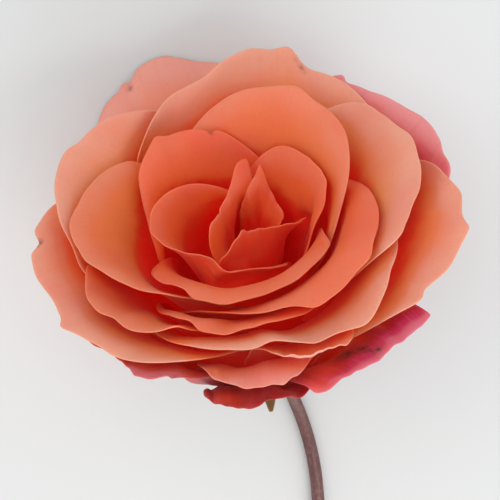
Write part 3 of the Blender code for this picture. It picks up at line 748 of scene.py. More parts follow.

# %% [markdown]
# ## The finish of a petal
#
# All petals share one recipe: a ramp of four colours from the claw to the rim, patches of a blush and of a
# warm orange, veins, a fine speckle, the pale line of the rim, and marks where the petal is old. The ramp
# also turns deeper where other blades hide the sky, which is painted shade. Only the colours and amounts
# differ, so one function makes every finish, and a table holds the palettes: the heart is the reddest, the
# outer petals are salmon, and the guard petals have turned pink, dark red and magenta. Real blades also let
# light through. A faint red glow that the shader gives off in the deep places, painted light, stands in for
# it, because light that passes many blades needs many bounces.

# %% One petal finish, for an upper or an under face


def petal_finish(name, deep, middle, high, edge, blush, warm, streak, wrinkle=0.0, through=0.07):
    """Colours from the claw to the rim with painted shade where other blades hide the sky, patches of blush
    and of warm orange, bruises and wrinkles, and a faint painted red glow in the deep places, as strong as
    through.
    """
    material, tree, shader = new_material(name, 0.5, 0.5, 0.0012)
    place = stored(tree, "blade", "Vector")
    # the share of the sky that other blades hide, which is painted below as shade
    painted_shade = stored(tree, "shade_under" if name.endswith("under") else "shade_upper")
    where = object_place(tree)

    # from deep red at the claw to salmon at the rim, with painted shade: deeper where other blades hide the
    # sky
    cloud = noise(tree, where, 70.0, 3.0)
    drift = count(tree, "MULTIPLY_ADD", count(tree, "SUBTRACT", cloud, 0.5), 0.25, part_of(tree, place, "Y"))
    drift = count(tree, "SUBTRACT", drift, range_of(tree, painted_shade, 0.35, 1.0, 0.0, 0.5))
    colour = curve(tree, drift, ((0.12, deep), (0.5, middle), (0.8, high), (1.0, edge)))
    belt = count(tree, "MULTIPLY", range_of(tree, drift, 0.35, 0.6), range_of(tree, drift, 0.95, 0.75))
    patch = range_of(tree, noise(tree, where, 28.0, 2.0), 0.4, 0.6, 0.0, 0.55)
    colour = blend(tree, count(tree, "MULTIPLY", belt, patch), colour, warm)
    patch = range_of(tree, noise(tree, where, 45.0, 2.0), 0.48, 0.72, 0.0, 0.5)
    colour = blend(tree, patch, colour, blush)

    # veins: thin streaks that run along the blade
    fine = noise(tree, stretched(tree, place, 110.0, 3.2), 1.0, 3.0, 0.6)
    broad = noise(tree, stretched(tree, place, 34.0, 1.4, 3.0), 1.0, 2.0)
    veins = count(tree, "MULTIPLY_ADD", broad, 0.5, count(tree, "MULTIPLY", fine, 0.5))
    colour = blend(tree, range_of(tree, veins, 0.5, 0.66, 0.0, streak), colour, deep)
    colour = blend(tree, range_of(tree, veins, 0.5, 0.36, 0.0, streak), colour, edge)
    speckle = noise(tree, where, 1500.0, 2.0)
    colour = blend(tree, range_of(tree, speckle, 0.55, 0.75, 0.0, 0.12), colour, deep)
    colour = blend(tree, range_of(tree, speckle, 0.45, 0.25, 0.0, 0.12), colour, edge)
    colour = blend(tree, stored(tree, "flush"), colour, FLUSH)

    # the thin pale line of the rim, and the bruises on it
    pale = count(tree, "MULTIPLY_ADD", cloud, 1.6, 0.1)
    line = range_of(tree, count(tree, "DIVIDE", stored(tree, "to_rim"), pale), 0.0, 1.0, 0.3, 0.0)
    colour = blend(tree, line, colour, edge)
    speck = range_of(tree, noise(tree, where, 900.0, 2.0), 0.35, 0.65, 0.45, 1.2)
    colour = blend(tree, count(tree, "MULTIPLY", stored(tree, "bruise"), speck), colour, BRUISE)

    # painted light: a faint red glow given off in the deep places, in place of light that comes through the
    # thin blades
    painted_glow = tuple(through * part for part in deep)
    painted_glow = blend(tree, range_of(tree, drift, 0.5, 0.1), (0.0, 0.0, 0.0), painted_glow)
    tree.links.new(painted_glow, shader.inputs["Emission Color"])
    shader.inputs["Emission Strength"].default_value = 1.0

    grain = noise(tree, where, 2600.0, 2.0)
    relief = count(tree, "MULTIPLY_ADD", veins, 1.0, count(tree, "MULTIPLY", grain, 0.12))
    fold = noise(tree, stretched(tree, place, 9.0, 3.0, 5.0), 1.0, 4.0, 0.65)
    relief = count(tree, "MULTIPLY_ADD", fold, wrinkle, relief)
    paint(tree, shader, colour, relief, 0.25, 0.0003)
    tree.links.new(range_of(tree, cloud, 0.3, 0.7, 0.44, 0.6), shader.inputs["Roughness"])
    shader.inputs["Sheen Weight"].default_value = 0.06
    shader.inputs["Sheen Roughness"].default_value = 0.4
    shader.inputs["Sheen Tint"].default_value = (1.0, 0.75, 0.68, 1.0)
    shader.inputs["Specular IOR Level"].default_value = 0.25
    return material


BRUISE = (0.10, 0.045, 0.015)
FLUSH = (0.80, 0.11, 0.035)
print("a bruise is brown:", BRUISE, "and a flush red:", FLUSH)

# %% [markdown]
# Each palette has a row for the upper face and one for the under face. A row holds linear colours: deep,
# middle, high and edge from the claw to the rim, then the blush and the warm patches. The numbers after them
# are the strength of the veins, of the wrinkles and of the painted red glow in deep places.

# %% Palettes
PALETTES = {
    "heart": (
        ((0.88, 0.01, 0.004), (0.78, 0.05, 0.012), (0.81, 0.125, 0.04), (0.82, 0.18, 0.09),
         (0.78, 0.09, 0.04), (0.87, 0.16, 0.03), 0.05, 0.0, 0.01),
        ((0.92, 0.03, 0.012), (0.9, 0.1, 0.04), (0.86, 0.13, 0.06), (0.81, 0.17, 0.1), (0.8, 0.09, 0.05),
         (0.84, 0.12, 0.03), 0.07, 0.0, 0.06),
    ),
    "middle": (
        ((0.9, 0.015, 0.005), (0.78, 0.07, 0.014), (0.78, 0.17, 0.06), (0.79, 0.24, 0.135),
         (0.76, 0.14, 0.08), (0.87, 0.23, 0.045), 0.05),
        ((0.92, 0.03, 0.012), (0.88, 0.1, 0.04), (0.8, 0.15, 0.08), (0.8, 0.24, 0.15), (0.77, 0.12, 0.08),
         (0.84, 0.18, 0.05), 0.07),
    ),
    "outer": (
        ((0.9, 0.035, 0.01), (0.84, 0.15, 0.045), (0.78, 0.26, 0.135), (0.79, 0.36, 0.25),
         (0.77, 0.24, 0.17), (0.86, 0.32, 0.085), 0.06),
        ((0.9, 0.05, 0.025), (0.84, 0.15, 0.1), (0.79, 0.22, 0.17), (0.79, 0.33, 0.28), (0.75, 0.13, 0.13),
         (0.82, 0.24, 0.1), 0.1),
    ),
    "salmon": (
        ((0.78, 0.08, 0.04), (0.8, 0.19, 0.11), (0.82, 0.28, 0.18), (0.82, 0.33, 0.26), (0.8, 0.21, 0.18),
         (0.86, 0.3, 0.12), 0.06),
        ((0.7, 0.08, 0.06), (0.76, 0.16, 0.14), (0.78, 0.24, 0.22), (0.8, 0.34, 0.32), (0.7, 0.1, 0.14),
         (0.8, 0.24, 0.16), 0.1),
    ),
    "pink": (
        ((0.68, 0.03, 0.03), (0.74, 0.13, 0.11), (0.77, 0.22, 0.21), (0.8, 0.32, 0.32), (0.68, 0.11, 0.17),
         (0.8, 0.2, 0.14), 0.12, 0.5, 0.03),
        ((0.55, 0.02, 0.04), (0.62, 0.06, 0.1), (0.7, 0.11, 0.17), (0.8, 0.28, 0.34), (0.52, 0.03, 0.1),
         (0.72, 0.12, 0.14), 0.16, 0.5, 0.03),
    ),
    "dull": (
        ((0.62, 0.04, 0.015), (0.56, 0.06, 0.04), (0.54, 0.08, 0.06), (0.56, 0.16, 0.18),
         (0.42, 0.05, 0.07), (0.54, 0.12, 0.05), 0.14, 2.0, 0.03),
        ((0.46, 0.02, 0.02), (0.48, 0.05, 0.06), (0.52, 0.09, 0.12), (0.66, 0.22, 0.26), (0.44, 0.04, 0.09),
         (0.55, 0.1, 0.08), 0.16, 2.0, 0.03),
    ),
    "crimson": (
        ((0.78, 0.12, 0.03), (0.44, 0.018, 0.04), (0.52, 0.045, 0.14), (0.66, 0.2, 0.28), (0.72, 0.26, 0.3),
         (0.6, 0.04, 0.19), 0.25, 4.0, 0.03),
        ((0.36, 0.01, 0.02), (0.34, 0.012, 0.03), (0.4, 0.018, 0.05), (0.58, 0.13, 0.21),
         (0.26, 0.006, 0.02), (0.48, 0.05, 0.12), 0.25, 4.0, 0.03),
    ),
    "wine": (
        ((0.42, 0.015, 0.01), (0.3, 0.01, 0.012), (0.34, 0.014, 0.02), (0.4, 0.05, 0.06),
         (0.44, 0.08, 0.07), (0.32, 0.025, 0.02), 0.22, 4.0, 0.03),
        ((0.3, 0.01, 0.01), (0.26, 0.01, 0.015), (0.32, 0.015, 0.03), (0.5, 0.1, 0.12), (0.22, 0.006, 0.01),
         (0.36, 0.03, 0.03), 0.22, 4.0, 0.03),
    ),
}
# the palette of a ring or of one petal, where it isn't the one named after the ring
DRESS = {
    "inner": "heart", "middle_petal_3": "heart", "middle_petal_4": "heart", "middle_petal_6": "outer",
    "outer_petal_6": "salmon", "guard_petal_1": "dull", "guard_petal_2": "pink",
    "guard_petal_3": "salmon", "guard_petal_4": "crimson", "guard_petal_5": "wine",
}
FINISHES = {}
for name, (upper, under) in PALETTES.items():
    FINISHES[name] = (petal_finish(f"{name}_upper", *upper), petal_finish(f"{name}_under", *under))
print("petal finishes:", 2 * len(FINISHES))

# %% [markdown]
# ## How much sky each face sees
#
# Light that reaches the foot of a petal has passed its neighbours several times, and is deep red. So each
# point of a blade gets a number: the share of the sky that other blades hide from it, and the finishes turn
# the colour deeper where it is high, as painted shade. A bundle of rays from every second point of the grid
# finds it. An ambient occlusion node works only while a picture is rendered, but a number on the mesh goes
# wherever the mesh goes.

# %% How much sky each face sees
SKY_STEP = 2
RAY_LIFT = 0.25
RAY_LENGTH = 60.0
SKY = unit(np.random.default_rng(7).normal(size=(28, 3)))


def blocked_share(points, normals, tree):
    """The share of the open half space that other blades hide from each point."""
    shares = []
    for point, normal in zip(points, normals):
        start = Vector(point + normal * RAY_LIFT)
        seen, total = 0.0, 0.0
        for direction in SKY:
            facing = float(direction @ normal)
            if facing < 0:
                direction, facing = -direction, -facing
            weight = facing * (0.35 + 0.65 * max(direction[2], 0.0))
            total += weight
            if tree.ray_cast(start, Vector(direction), RAY_LENGTH)[0] is None:
                seen += weight
        shares.append(1 - seen / total)
    return np.array(shares)


def mid_mesh(grids):
    """One search tree of the mid surfaces of all the blades."""
    points, faces = [], []
    for grid in grids:
        start = len(points)
        points += [tuple(point) for point in grid.reshape(-1, 3)]
        faces += [tuple(start + k for k in face) for face in facets(*grid.shape[:2])]
    return BVHTree.FromPolygons(points, faces)


all_blades = mid_mesh([petal["surface"][::SKY_STEP, ::SKY_STEP] for petal in NESTED])
for petal in NESTED:
    grid = petal["surface"][::SKY_STEP, ::SKY_STEP]
    normal = outward(grid).reshape(-1, 3)
    # these shares are painted as shade by the petal finishes
    for face, sign in (("shade_upper", -1), ("shade_under", 1)):
        share = blocked_share(grid.reshape(-1, 3), sign * normal, all_blades).reshape(grid.shape[:2])
        petal[face] = spread(share, FINE[::SKY_STEP], FINE[::SKY_STEP], FINE)
print("shade of the heart:", NESTED[0]["shade_upper"].mean().round(2))

# %% [markdown]
# ## Marks of age
#
# No blade is quite smooth. Each swells a little here and there and its rim ripples, and the old
# guard petals are bruised, flushed and creased. A sculpting brush could do this by hand. Sines and
# a few placed marks do it too, and give the same petal on every run. The moves are kept to a
# fraction of a millimetre, to stay clear of the neighbours.

# %% Swells, creases and bruises
SWELL = 0.05
RIPPLE = 0.16
# where a blade is bruised: place across and along it, size in mm, amount
BRUISES = {
    "inner_petal_7": ((0.33, 1.0, 0.6, 0.7),),
    "outer_petal_2": ((0.2, 0.98, 0.5, 0.5),),
    "outer_petal_4": ((0.67, 1.0, 0.5, 0.8),),
    "guard_petal_1": ((-0.9, 1.0, 1.0, 0.6),),
    "guard_petal_3": ((-0.42, 0.97, 0.7, 0.7),),
    "guard_petal_4": ((0.17, 0.84, 1.9, 1.0), (0.02, 0.85, 1.5, 1.0), (-0.11, 0.95, 1.1, 1.0),
                      (0.28, 0.84, 1.0, 0.7), (-0.05, 0.91, 0.8, 0.8)),
    "guard_petal_5": ((-0.28, 1.0, 0.9, 1.0), (0.5, 1.0, 0.7, 0.6)),
}
# where it has kept or turned to another colour, in the same way
FLUSHES = {
    "guard_petal_4": ((-0.17, 0.70, 3.2, 1.0), (0.05, 0.66, 2.6, 0.9), (0.6, 0.88, 4.0, 0.55),
                      (0.9, 0.95, 4.0, 0.6)),
    "guard_petal_5": ((0.5, 0.95, 3.0, 0.5),),
    "guard_petal_1": ((-0.2, 0.8, 4.0, 0.6),),
}
# how far in mm a blade is creased, and how many creases it has: the old guard petals wither
CREASES = {"guard_petal_1": (0.35, 3), "guard_petal_4": (0.5, 3), "guard_petal_5": (0.45, 3)}


def crumple(petal):
    """Small swells of the blade and ripples of its rim, and creases where it has withered."""
    rng = np.random.default_rng(40 + petal["number"])
    u, v = np.meshgrid(ACROSS_PLACES, ALONG_PLACES)
    push = np.zeros_like(u)
    for _ in range(7):
        turns, rise, phase = rng.uniform(1.5, 5.0), rng.uniform(-3.0, 3.0), rng.uniform(0, 6.28)
        push += SWELL * np.sin(turns * np.pi * u + rise * np.pi * v + phase)
    ripple = np.sin(rng.uniform(7, 10) * np.pi * u + rng.uniform(0, 6.28))
    push += RIPPLE * ripple * np.clip((v - 0.8) / 0.2, 0, 1) ** 2
    depth, number = CREASES.get(petal["name"], (0.0, 1))
    fold = 1 - 2 * np.abs(np.sin(number * np.pi / 2 * (u + 0.3 * np.sin(3 * v + 5 * u * u))))
    push += depth * fold * np.clip((v - 0.35) / 0.4, 0, 1) * (1 - 0.6 * np.clip((v - 0.8) / 0.2, 0, 1))
    return petal["surface"] + outward(petal["surface"]) * (push * np.clip(v / 0.3, 0, 1))[..., None]


for number, petal in enumerate(NESTED):
    petal["number"] = number
    petal["surface"] = crumple(petal)
print("creased petals:", len(CREASES))

# %% [markdown]
# ## Making the petals
#
# Each petal starts as a flat grid primitive. Its points are then moved to the nested surface, the
# maps are stored on it, and it is finished with two modifiers: Solidify gives it two faces and a
# rim, and Subdivision rounds both. Bending the grid with edit-mode tools could make one petal, but
# not twenty-five that lie on one another without touching, so the points are placed in code.

# %% Making the petals
THICK = 0.36


def round_off(piece, levels):
    """Subdivision after the other modifiers, all of them applied, and smooth shading."""
    rounded = piece.modifiers.new("round", "SUBSURF")
    rounded.levels = levels
    rounded.render_levels = levels
    bpy.ops.object.select_all(action="DESELECT")
    piece.select_set(True)
    bpy.context.view_layer.objects.active = piece
    for modifier in list(piece.modifiers):
        bpy.ops.object.modifier_apply(modifier=modifier.name)
    bpy.ops.object.shade_smooth()


def blade_from_grid(name, surface):
    """A grid primitive whose points are moved to the surface, with the row and column of each."""
    tall, wide = surface.shape[:2]
    bpy.ops.object.select_all(action="DESELECT")
    bpy.ops.mesh.primitive_grid_add(x_subdivisions=wide - 1, y_subdivisions=tall - 1, size=2)
    piece = bpy.context.active_object
    piece.name = name
    piece.data.name = name
    points = np.zeros(len(piece.data.vertices) * 3)
    piece.data.vertices.foreach_get("co", points)
    points = points.reshape(-1, 3)
    column = np.round((points[:, 0] + 1) / 2 * (wide - 1)).astype(int)
    row = np.round((points[:, 1] + 1) / 2 * (tall - 1)).astype(int)
    placed = to_table(surface)[row, column]
    piece.data.vertices.foreach_set("co", placed.ravel())
    return piece, row, column


def keep(piece, name, values):
    """A number or a vector for each point, stored on the mesh."""
    kind, field = ("FLOAT", "value") if values.ndim == 1 else ("FLOAT_VECTOR", "vector")
    made = piece.data.attributes.new(name, kind, "POINT")
    made.data.foreach_set(field, values.astype(np.float32).ravel())


def finish_blade(piece, thickness, levels, materials):
    """The blade thickened, with one material on each face, and rounded."""
    solid = piece.modifiers.new("thickness", "SOLIDIFY")
    solid.thickness = thickness * MM
    solid.offset = 0.0
    solid.use_even_offset = False
    solid.material_offset = 1
    for material in materials:
        piece.data.materials.append(material)
    round_off(piece, levels)


def rim_distance(surface):
    """Millimetres from each point of a blade to its rim, by the nearest rim point."""
    rim = np.concatenate([surface[-1], surface[10:-1, 0], surface[10:-1, -1]])
    flat = surface.reshape(-1, 3)
    nearest = [np.min(np.linalg.norm(rim - point, axis=1)) for point in flat]
    return np.array(nearest).reshape(surface.shape[:2])


def spots(surface, rows):
    """How strong the marks are at each point: each fades out round its place on the blade."""
    mark = np.zeros(surface.shape[:2])
    for place_u, place_v, size, amount in rows:
        i = int(round(place_v * CELLS))
        j = int(round((place_u + 1) / 2 * CELLS))
        away = np.linalg.norm(surface - surface[i, j], axis=-1)
        mark = np.maximum(mark, amount * np.exp(-((away / size) ** 2)))
    return mark


def store_maps(piece, petal, row, column):
    """The petal's own map and the numbers that its finish reads."""
    surface = petal["surface"]
    u, v = np.meshgrid(ACROSS_PLACES, ALONG_PLACES)
    half = petal["width"] / 2 * (0.45 + 0.55 * v)
    sideways = u * half / 30.0
    seed = petal["number"] * 3.7
    keep(piece, "blade", np.stack([sideways, v, np.full_like(u, seed)], axis=-1)[row, column])
    keep(piece, "to_rim", rim_distance(surface)[row, column])
    # the shares of hidden sky, which the finishes paint as shade
    for face in ("shade_upper", "shade_under"):
        keep(piece, face, petal[face][row, column])
    keep(piece, "bruise", spots(surface, BRUISES.get(petal["name"], ()))[row, column])
    keep(piece, "flush", spots(surface, FLUSHES.get(petal["name"], ()))[row, column])


for petal in NESTED:
    piece, row, column = blade_from_grid(petal["name"] + "_blade", petal["surface"])
    store_maps(piece, petal, row, column)
    ring = petal["name"].split("_")[0]
    palette = DRESS.get(petal["name"]) or DRESS.get(ring, ring)
    finish_blade(piece, THICK, 1, FINISHES[palette])
    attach(piece, "root")
    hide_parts(petal["name"])
blades = [obj for obj in bpy.data.objects if obj.name.endswith("_blade")]
print("petal triangles:", sum(2 * len(obj.data.polygons) for obj in blades))

# %% [markdown]
# ## Cushion, hip and stem
#
# Under the petals the stem swells into the hip, a small smooth urn, and ends in the cushion that
# the petals stand on. Every cross section of the three is round, so one tube along a curve makes
# them: its centre line leaves the cushion, runs back through the hip and bends flat on the table,
# and each point of it has its own radius. A turned body could make the hip but not the bend.

# %% Cushion, hip and stem
DOME_EDGE = 8.7
DOME_CLEAR = 1.2
# distance behind the seat, and radius
HIP = ((1.9, 8.6), (2.6, 6.4), (4.2, 5.2), (7.0, 5.3), (10.0, 4.8), (13.0, 3.6), (15.5, 2.4), (18.0, 1.9))
STEM_RADIUS = 1.65
STEM_FLAT = 88.0
STEM_START = 10.0
STEM_END = -18.0
STEM_TURN = 50.0
STEM_STEPS = 34


def stem_path(start):
    """Centre line from the hip's end: on along the axis, then bent flat and on along the table."""
    lean = math.radians(LEAN)
    bend = (start[2] - STEM_RADIUS) * lean / (1 - math.cos(lean))
    total = bend + STEM_FLAT
    points, before = [], None
    point = np.array(start, float)
    for step in range(STEM_STEPS + 1):
        along = total * step / STEM_STEPS
        slope = lean * (1 - min(along / bend, 1.0))
        turned = min(along / STEM_TURN, 1.0)
        turned = turned * turned * (3 - 2 * turned)
        heading = math.radians(STEM_START + (STEM_END - STEM_START) * turned)
        level = math.cos(slope)
        direction = np.array([math.sin(heading) * level, -math.cos(heading) * level, -math.sin(slope)])
        if points:
            point = point + unit(direction + before) * total / STEM_STEPS
        points.append(point)
        before = direction
    return points


def centre_line():
    """Centres in mm on the table and radii, from the top of the cushion to the cut end."""
    axis = lay @ np.array([0.0, 0.0, 1.0])
    centres, radii = [], []
    for share in (0.02, 0.22, 0.45, 0.7, 0.9, 1.0):
        radius = DOME_EDGE * share
        openness = max(radius - SEAT_RADIUS, 0.0) / SEAT_SPREAD
        centres.append(origin + axis * (SEAT_DOME * (1 - openness**2) - DOME_CLEAR))
        radii.append(radius)
    for back, radius in HIP:
        centres.append(origin - axis * back)
        radii.append(radius)
    path = stem_path(centres[-1] - axis * 2.0)
    return np.array(centres + path), np.array(radii + [STEM_RADIUS] * len(path))


def tube(name, centres, radii, resolution):
    """A mesh round a curve through these centres, with its own radius at each and flat ends."""
    bpy.ops.object.select_all(action="DESELECT")
    bpy.ops.curve.primitive_nurbs_path_add()
    piece = bpy.context.active_object
    piece.name = name
    piece.data.splines.clear()
    line = piece.data.splines.new("POLY")
    line.points.add(len(centres) - 1)
    for mark, centre, radius in zip(line.points, centres, radii):
        mark.co = (*centre * MM, 1.0)
        mark.radius = radius
    piece.data.bevel_depth = MM
    piece.data.bevel_resolution = resolution
    piece.data.use_fill_caps = True
    bpy.ops.object.convert(target="MESH")
    return bpy.context.active_object


def store_bark(piece, centres):
    """Two places round the tube and the mm along it, so that streaks can follow its bend."""
    points = np.array([tuple(point.co) for point in piece.data.vertices]) / MM
    nearest = np.array([np.argmin(np.linalg.norm(centres - point, axis=1)) for point in points])
    steps = np.linalg.norm(np.diff(centres, axis=0), axis=1)
    along = np.concatenate([[0.0], np.cumsum(steps)])[nearest]
    ahead = unit(np.gradient(centres, axis=0))[nearest]
    side = unit(np.cross(ahead, (0.0, 0.0, 1.0)))
    spoke = points - centres[nearest]
    aside = (spoke * side).sum(axis=1)
    upward = (spoke * np.cross(side, ahead)).sum(axis=1)
    keep(piece, "bark", np.stack([aside, upward, along], axis=1))


print("stem on the table:", STEM_FLAT, "mm")

# %% [markdown]
# The bark is bronze and maroon, and green on the hip. Its streaks follow the stem round its bend,
# so they are placed by the tube's own map rather than by the room. The stem was cut, so its end
# gets a bevelled rim, bark round the wood, and pale pith that lies a little lower in the middle.

# %% Bark and cut end
# rings inside the edge of the cut, each within the last
CUT_RIM = 0.06
CUT_BARK = 0.25
CUT_WOOD = 0.5
PITH_DEPTH = 0.1


def bark_finish():
    """Bronze and maroon over green, in streaks along the stem, with small pale pores."""
    material, tree, shader = new_material("stem_bark", 0.45)
    place = stored(tree, "bark", "Vector")
    streaks = noise(tree, stretched(tree, place, 1.6, 1.6), 1.0, 3.0, 0.6)
    flow = noise(tree, stretched(tree, place, 0.9, 0.9, far=0.05), 1.0, 2.0)
    bronze, maroon, olive = (0.075, 0.025, 0.025), (0.13, 0.045, 0.045), (0.15, 0.08, 0.055)
    colour = curve(tree, flow, ((0.3, bronze), (0.5, maroon), (0.68, olive)))
    hip = range_of(tree, part_of(tree, place, "Z"), 22.0, 34.0, 0.75, 0.0)
    colour = blend(tree, hip, colour, (0.17, 0.20, 0.06))
    colour = blend(tree, range_of(tree, streaks, 0.45, 0.7, 0.0, 0.35), colour, (0.30, 0.17, 0.14))
    pores = add(tree, "ShaderNodeTexVoronoi", Scale=620.0)
    tree.links.new(object_place(tree), pores.inputs["Vector"])
    pore = range_of(tree, pores.outputs["Distance"], 0.2, 0.05, 0.0, 0.3)
    colour = blend(tree, pore, colour, (0.36, 0.22, 0.17))
    paint(tree, shader, colour, count(tree, "MULTIPLY_ADD", pore, 0.6, flow), 0.4, 0.0003)
    return material


def pith_finish():
    """Pale wood and pith, with a fine grain."""
    material, tree, shader = new_material("cut_end", 0.8)
    fibre = noise(tree, object_place(tree), 3000.0, 2.0)
    colour = curve(tree, fibre, ((0.3, (0.36, 0.36, 0.20)), (0.7, (0.60, 0.58, 0.40))))
    tree.links.new(colour, shader.inputs["Base Color"])
    return material


centres, radii = centre_line()
stem = tube("stem_piece", centres, radii, 4)
store_bark(stem, centres)
stem.data.materials.append(bark_finish())
stem.data.materials.append(pith_finish())
end = Vector(centres[-1] * MM)
cut = min(stem.data.polygons, key=lambda face: (face.center - end).length)
for face in stem.data.polygons:
    face.select = face == cut
bpy.ops.object.mode_set(mode="EDIT")
bpy.ops.mesh.select_mode(type="FACE")
bpy.ops.mesh.inset(thickness=CUT_RIM * MM)
bpy.ops.mesh.inset(thickness=CUT_BARK * MM)
stem.active_material_index = 1
bpy.ops.object.material_slot_assign()
bpy.ops.mesh.inset(thickness=CUT_WOOD * MM, depth=-PITH_DEPTH * MM)
bpy.ops.object.mode_set(mode="OBJECT")
round_off(stem, 1)
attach(stem, "root")
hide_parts("hip_and_stem")
print("stem triangles:", 2 * len(stem.data.polygons))

# %% [markdown]
# ## Sepals
#
# Five green sepals wrapped the bud, and lie back under the open bloom. Each is a keeled, tapering blade,
# green above and paler below, and dry and brown towards its tip; the real ones are also thick in the middle
# and thin at the sides, and downy below, but here the blade is of even thickness and bare. The same plan as
# the solid's gives its surface; Solidify and two levels of Subdivision finish it.

# %% Sepals
# azimuth, length in mm, angle from the axis and further bend, in degrees
SEPALS = (
    (262, 19, 94, -18),
    (334, 21, 84, -22),
    (190, 21, 86, -24),
    (46, 21, 76, -26),
    (118, 21, 76, -26),
)
SEPAL_WIDTH = 7.0
SEPAL_RADIUS = 9.1
SEPAL_HEIGHT = -1.7
SEPAL_KEEL = 0.9
SEPAL_THICK = 0.6


def sepal_surface(azimuth, length, angle, bend):
    """A keeled, tapering blade under the petals, on a grid of 5 by 11."""
    u = np.linspace(-1, 1, 5)[None, :]
    v = np.linspace(0, 1, 11)[:, None]
    steps = np.radians(angle + bend * v[:, 0])
    middles = (steps[1:] + steps[:-1]) / 2
    run = np.concatenate([[0], np.cumsum(np.sin(middles))]) * length / 10
    rise = np.concatenate([[0], np.cumsum(np.cos(middles))]) * length / 10
    half = SEPAL_WIDTH / 2 * (0.62 + 0.38 * np.sin(np.pi * np.clip(v / 0.5, 0, 1) / 2))
    half = half * (1 - 0.88 * np.clip((v - 0.2) / 0.8, 0, 1) ** 1.15)
    keel = SEPAL_KEEL * (u**2) * half / SEPAL_WIDTH * 2
    out = (SEPAL_RADIUS + run)[:, None] - keel * np.cos(steps)[:, None]
    up = (SEPAL_HEIGHT + rise)[:, None] + keel * np.sin(steps)[:, None]
    side = u * half
    turn = math.radians(azimuth)
    x = out * math.cos(turn) - side * math.sin(turn)
    y = out * math.sin(turn) + side * math.cos(turn)
    return np.stack([x, y, up + 0 * side], axis=-1)


def sepal_finish(name, fresh, worn, dry):
    """Fresh green with worn patches and veins, drying towards the tip."""
    material, tree, shader = new_material(name, 0.6, 0.1, 0.001)
    place = stored(tree, "blade", "Vector")
    cloud = noise(tree, object_place(tree), 260.0, 3.0)
    colour = blend(tree, range_of(tree, cloud, 0.35, 0.65), fresh, worn)
    drift = count(tree, "MULTIPLY_ADD", cloud, 0.5, part_of(tree, place, "Y"))
    colour = blend(tree, range_of(tree, drift, 0.85, 1.2, 0.0, 0.9), colour, dry)
    veins = noise(tree, stretched(tree, place, 14.0, 1.2), 1.0, 2.0)
    colour = blend(tree, range_of(tree, veins, 0.5, 0.7, 0.0, 0.4), colour, worn)
    paint(tree, shader, colour, veins, 0.5, 0.0003)
    return material


SEPAL_FINISHES = (
    sepal_finish("sepal_upper", (0.14, 0.22, 0.05), (0.30, 0.31, 0.10), (0.34, 0.22, 0.08)),
    sepal_finish("sepal_under", (0.22, 0.28, 0.11), (0.36, 0.36, 0.18), (0.38, 0.26, 0.11)),
)
for number, row in enumerate(SEPALS, 1):
    surface = sepal_surface(*row)
    piece, along, sideways = blade_from_grid(f"sepal_{number}_blade", surface)
    seeds = np.full(len(along), number * 3.1)
    keep(piece, "blade", np.stack([sideways / 4 - 0.5, along / 10, seeds], axis=1))
    finish_blade(piece, SEPAL_THICK, 2, SEPAL_FINISHES)
    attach(piece, "root")
    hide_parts(f"sepal_{number}")
print("sepals:", len(SEPALS))

# %% [markdown]
# ## Stamens
#
# Deep in the heart, behind the inner petals, a column of fused styles stands in a ring of thin
# filaments, each with a golden anther of two lobes. They hardly show, yet a bloom cut open would
# have them. Cylinders and small stretched spheres are their real shapes, so primitives make them.

# %% Stamens
STYLE_RADIUS = 0.95
STYLE_HEIGHT = 7.0
STAMENS = 27
FILAMENT_RADIUS = 0.12
LOBE = 0.32


def stamen_finish(name, colours, scale):
    """Two colours in fine grains, as of pollen."""
    material, tree, shader = new_material(name, 0.65, 0.1, 0.0005)
    dust = noise(tree, object_place(tree), scale, 3.0)
    paint(tree, shader, curve(tree, dust, ((0.35, colours[0]), (0.65, colours[1]))), dust, 0.4, 0.0001)
    return material


filament_finish = stamen_finish("filament", ((0.60, 0.20, 0.05), (0.74, 0.42, 0.12)), 900.0)
anther_finish = stamen_finish("anther", ((0.55, 0.28, 0.03), (0.82, 0.56, 0.10)), 2600.0)


def rod(start, end, radius):
    """A thin cylinder between two places of the bloom's frame, in mm."""
    start, end = Vector(to_table(start)), Vector(to_table(end))
    middle, along = (start + end) / 2, end - start
    bpy.ops.mesh.primitive_cylinder_add(vertices=10, radius=radius * MM, depth=along.length, location=middle,
                                        rotation=along.to_track_quat("Z", "Y").to_euler())
    made = bpy.context.active_object
    made.data.materials.append(filament_finish)
    return made


def anther(place, size, turn):
    """One anther of two lobes."""
    lobes = []
    for side in (-LOBE, LOBE):
        spot = np.array(place) + (side * math.cos(turn), side * math.sin(turn), 0.0)
        bpy.ops.mesh.primitive_uv_sphere_add(segments=12, ring_count=8, radius=MM, location=to_table(spot))
        made = bpy.context.active_object
        made.scale = (0.33 * size, 0.33 * size, 0.62 * size)
        made.data.materials.append(anther_finish)
        lobes.append(made)
    return lobes


seat_height = SEAT_DOME - DOME_CLEAR + 0.35
parts = [rod((0, 0, seat_height), (0, 0, seat_height + STYLE_HEIGHT), STYLE_RADIUS * 0.85)]
for k in range(STAMENS):
    angle = 2 * math.pi * k / STAMENS
    reach = 1.75 - 0.35 * (k % 3 == 1)
    top = seat_height + STYLE_HEIGHT + 1.2 + 0.7 * math.sin(2.4 * k / 3)
    tip = (reach * math.cos(angle), reach * math.sin(angle), top)
    foot = (0.7 * math.cos(angle), 0.7 * math.sin(angle), seat_height + 0.4)
    parts.append(rod(foot, tip, FILAMENT_RADIUS))
    parts += anther(tip, 0.8, angle + 1.2)
for made in parts:
    made.select_set(True)
bpy.context.view_layer.objects.active = parts[0]
bpy.ops.object.join()
tuft = bpy.context.active_object
tuft.name = "stamen_tuft"
bpy.ops.object.transform_apply(location=True, rotation=True, scale=True)
bpy.ops.object.shade_smooth()
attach(tuft, "root")
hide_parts("stamens")
print("stamen pieces:", len(parts))

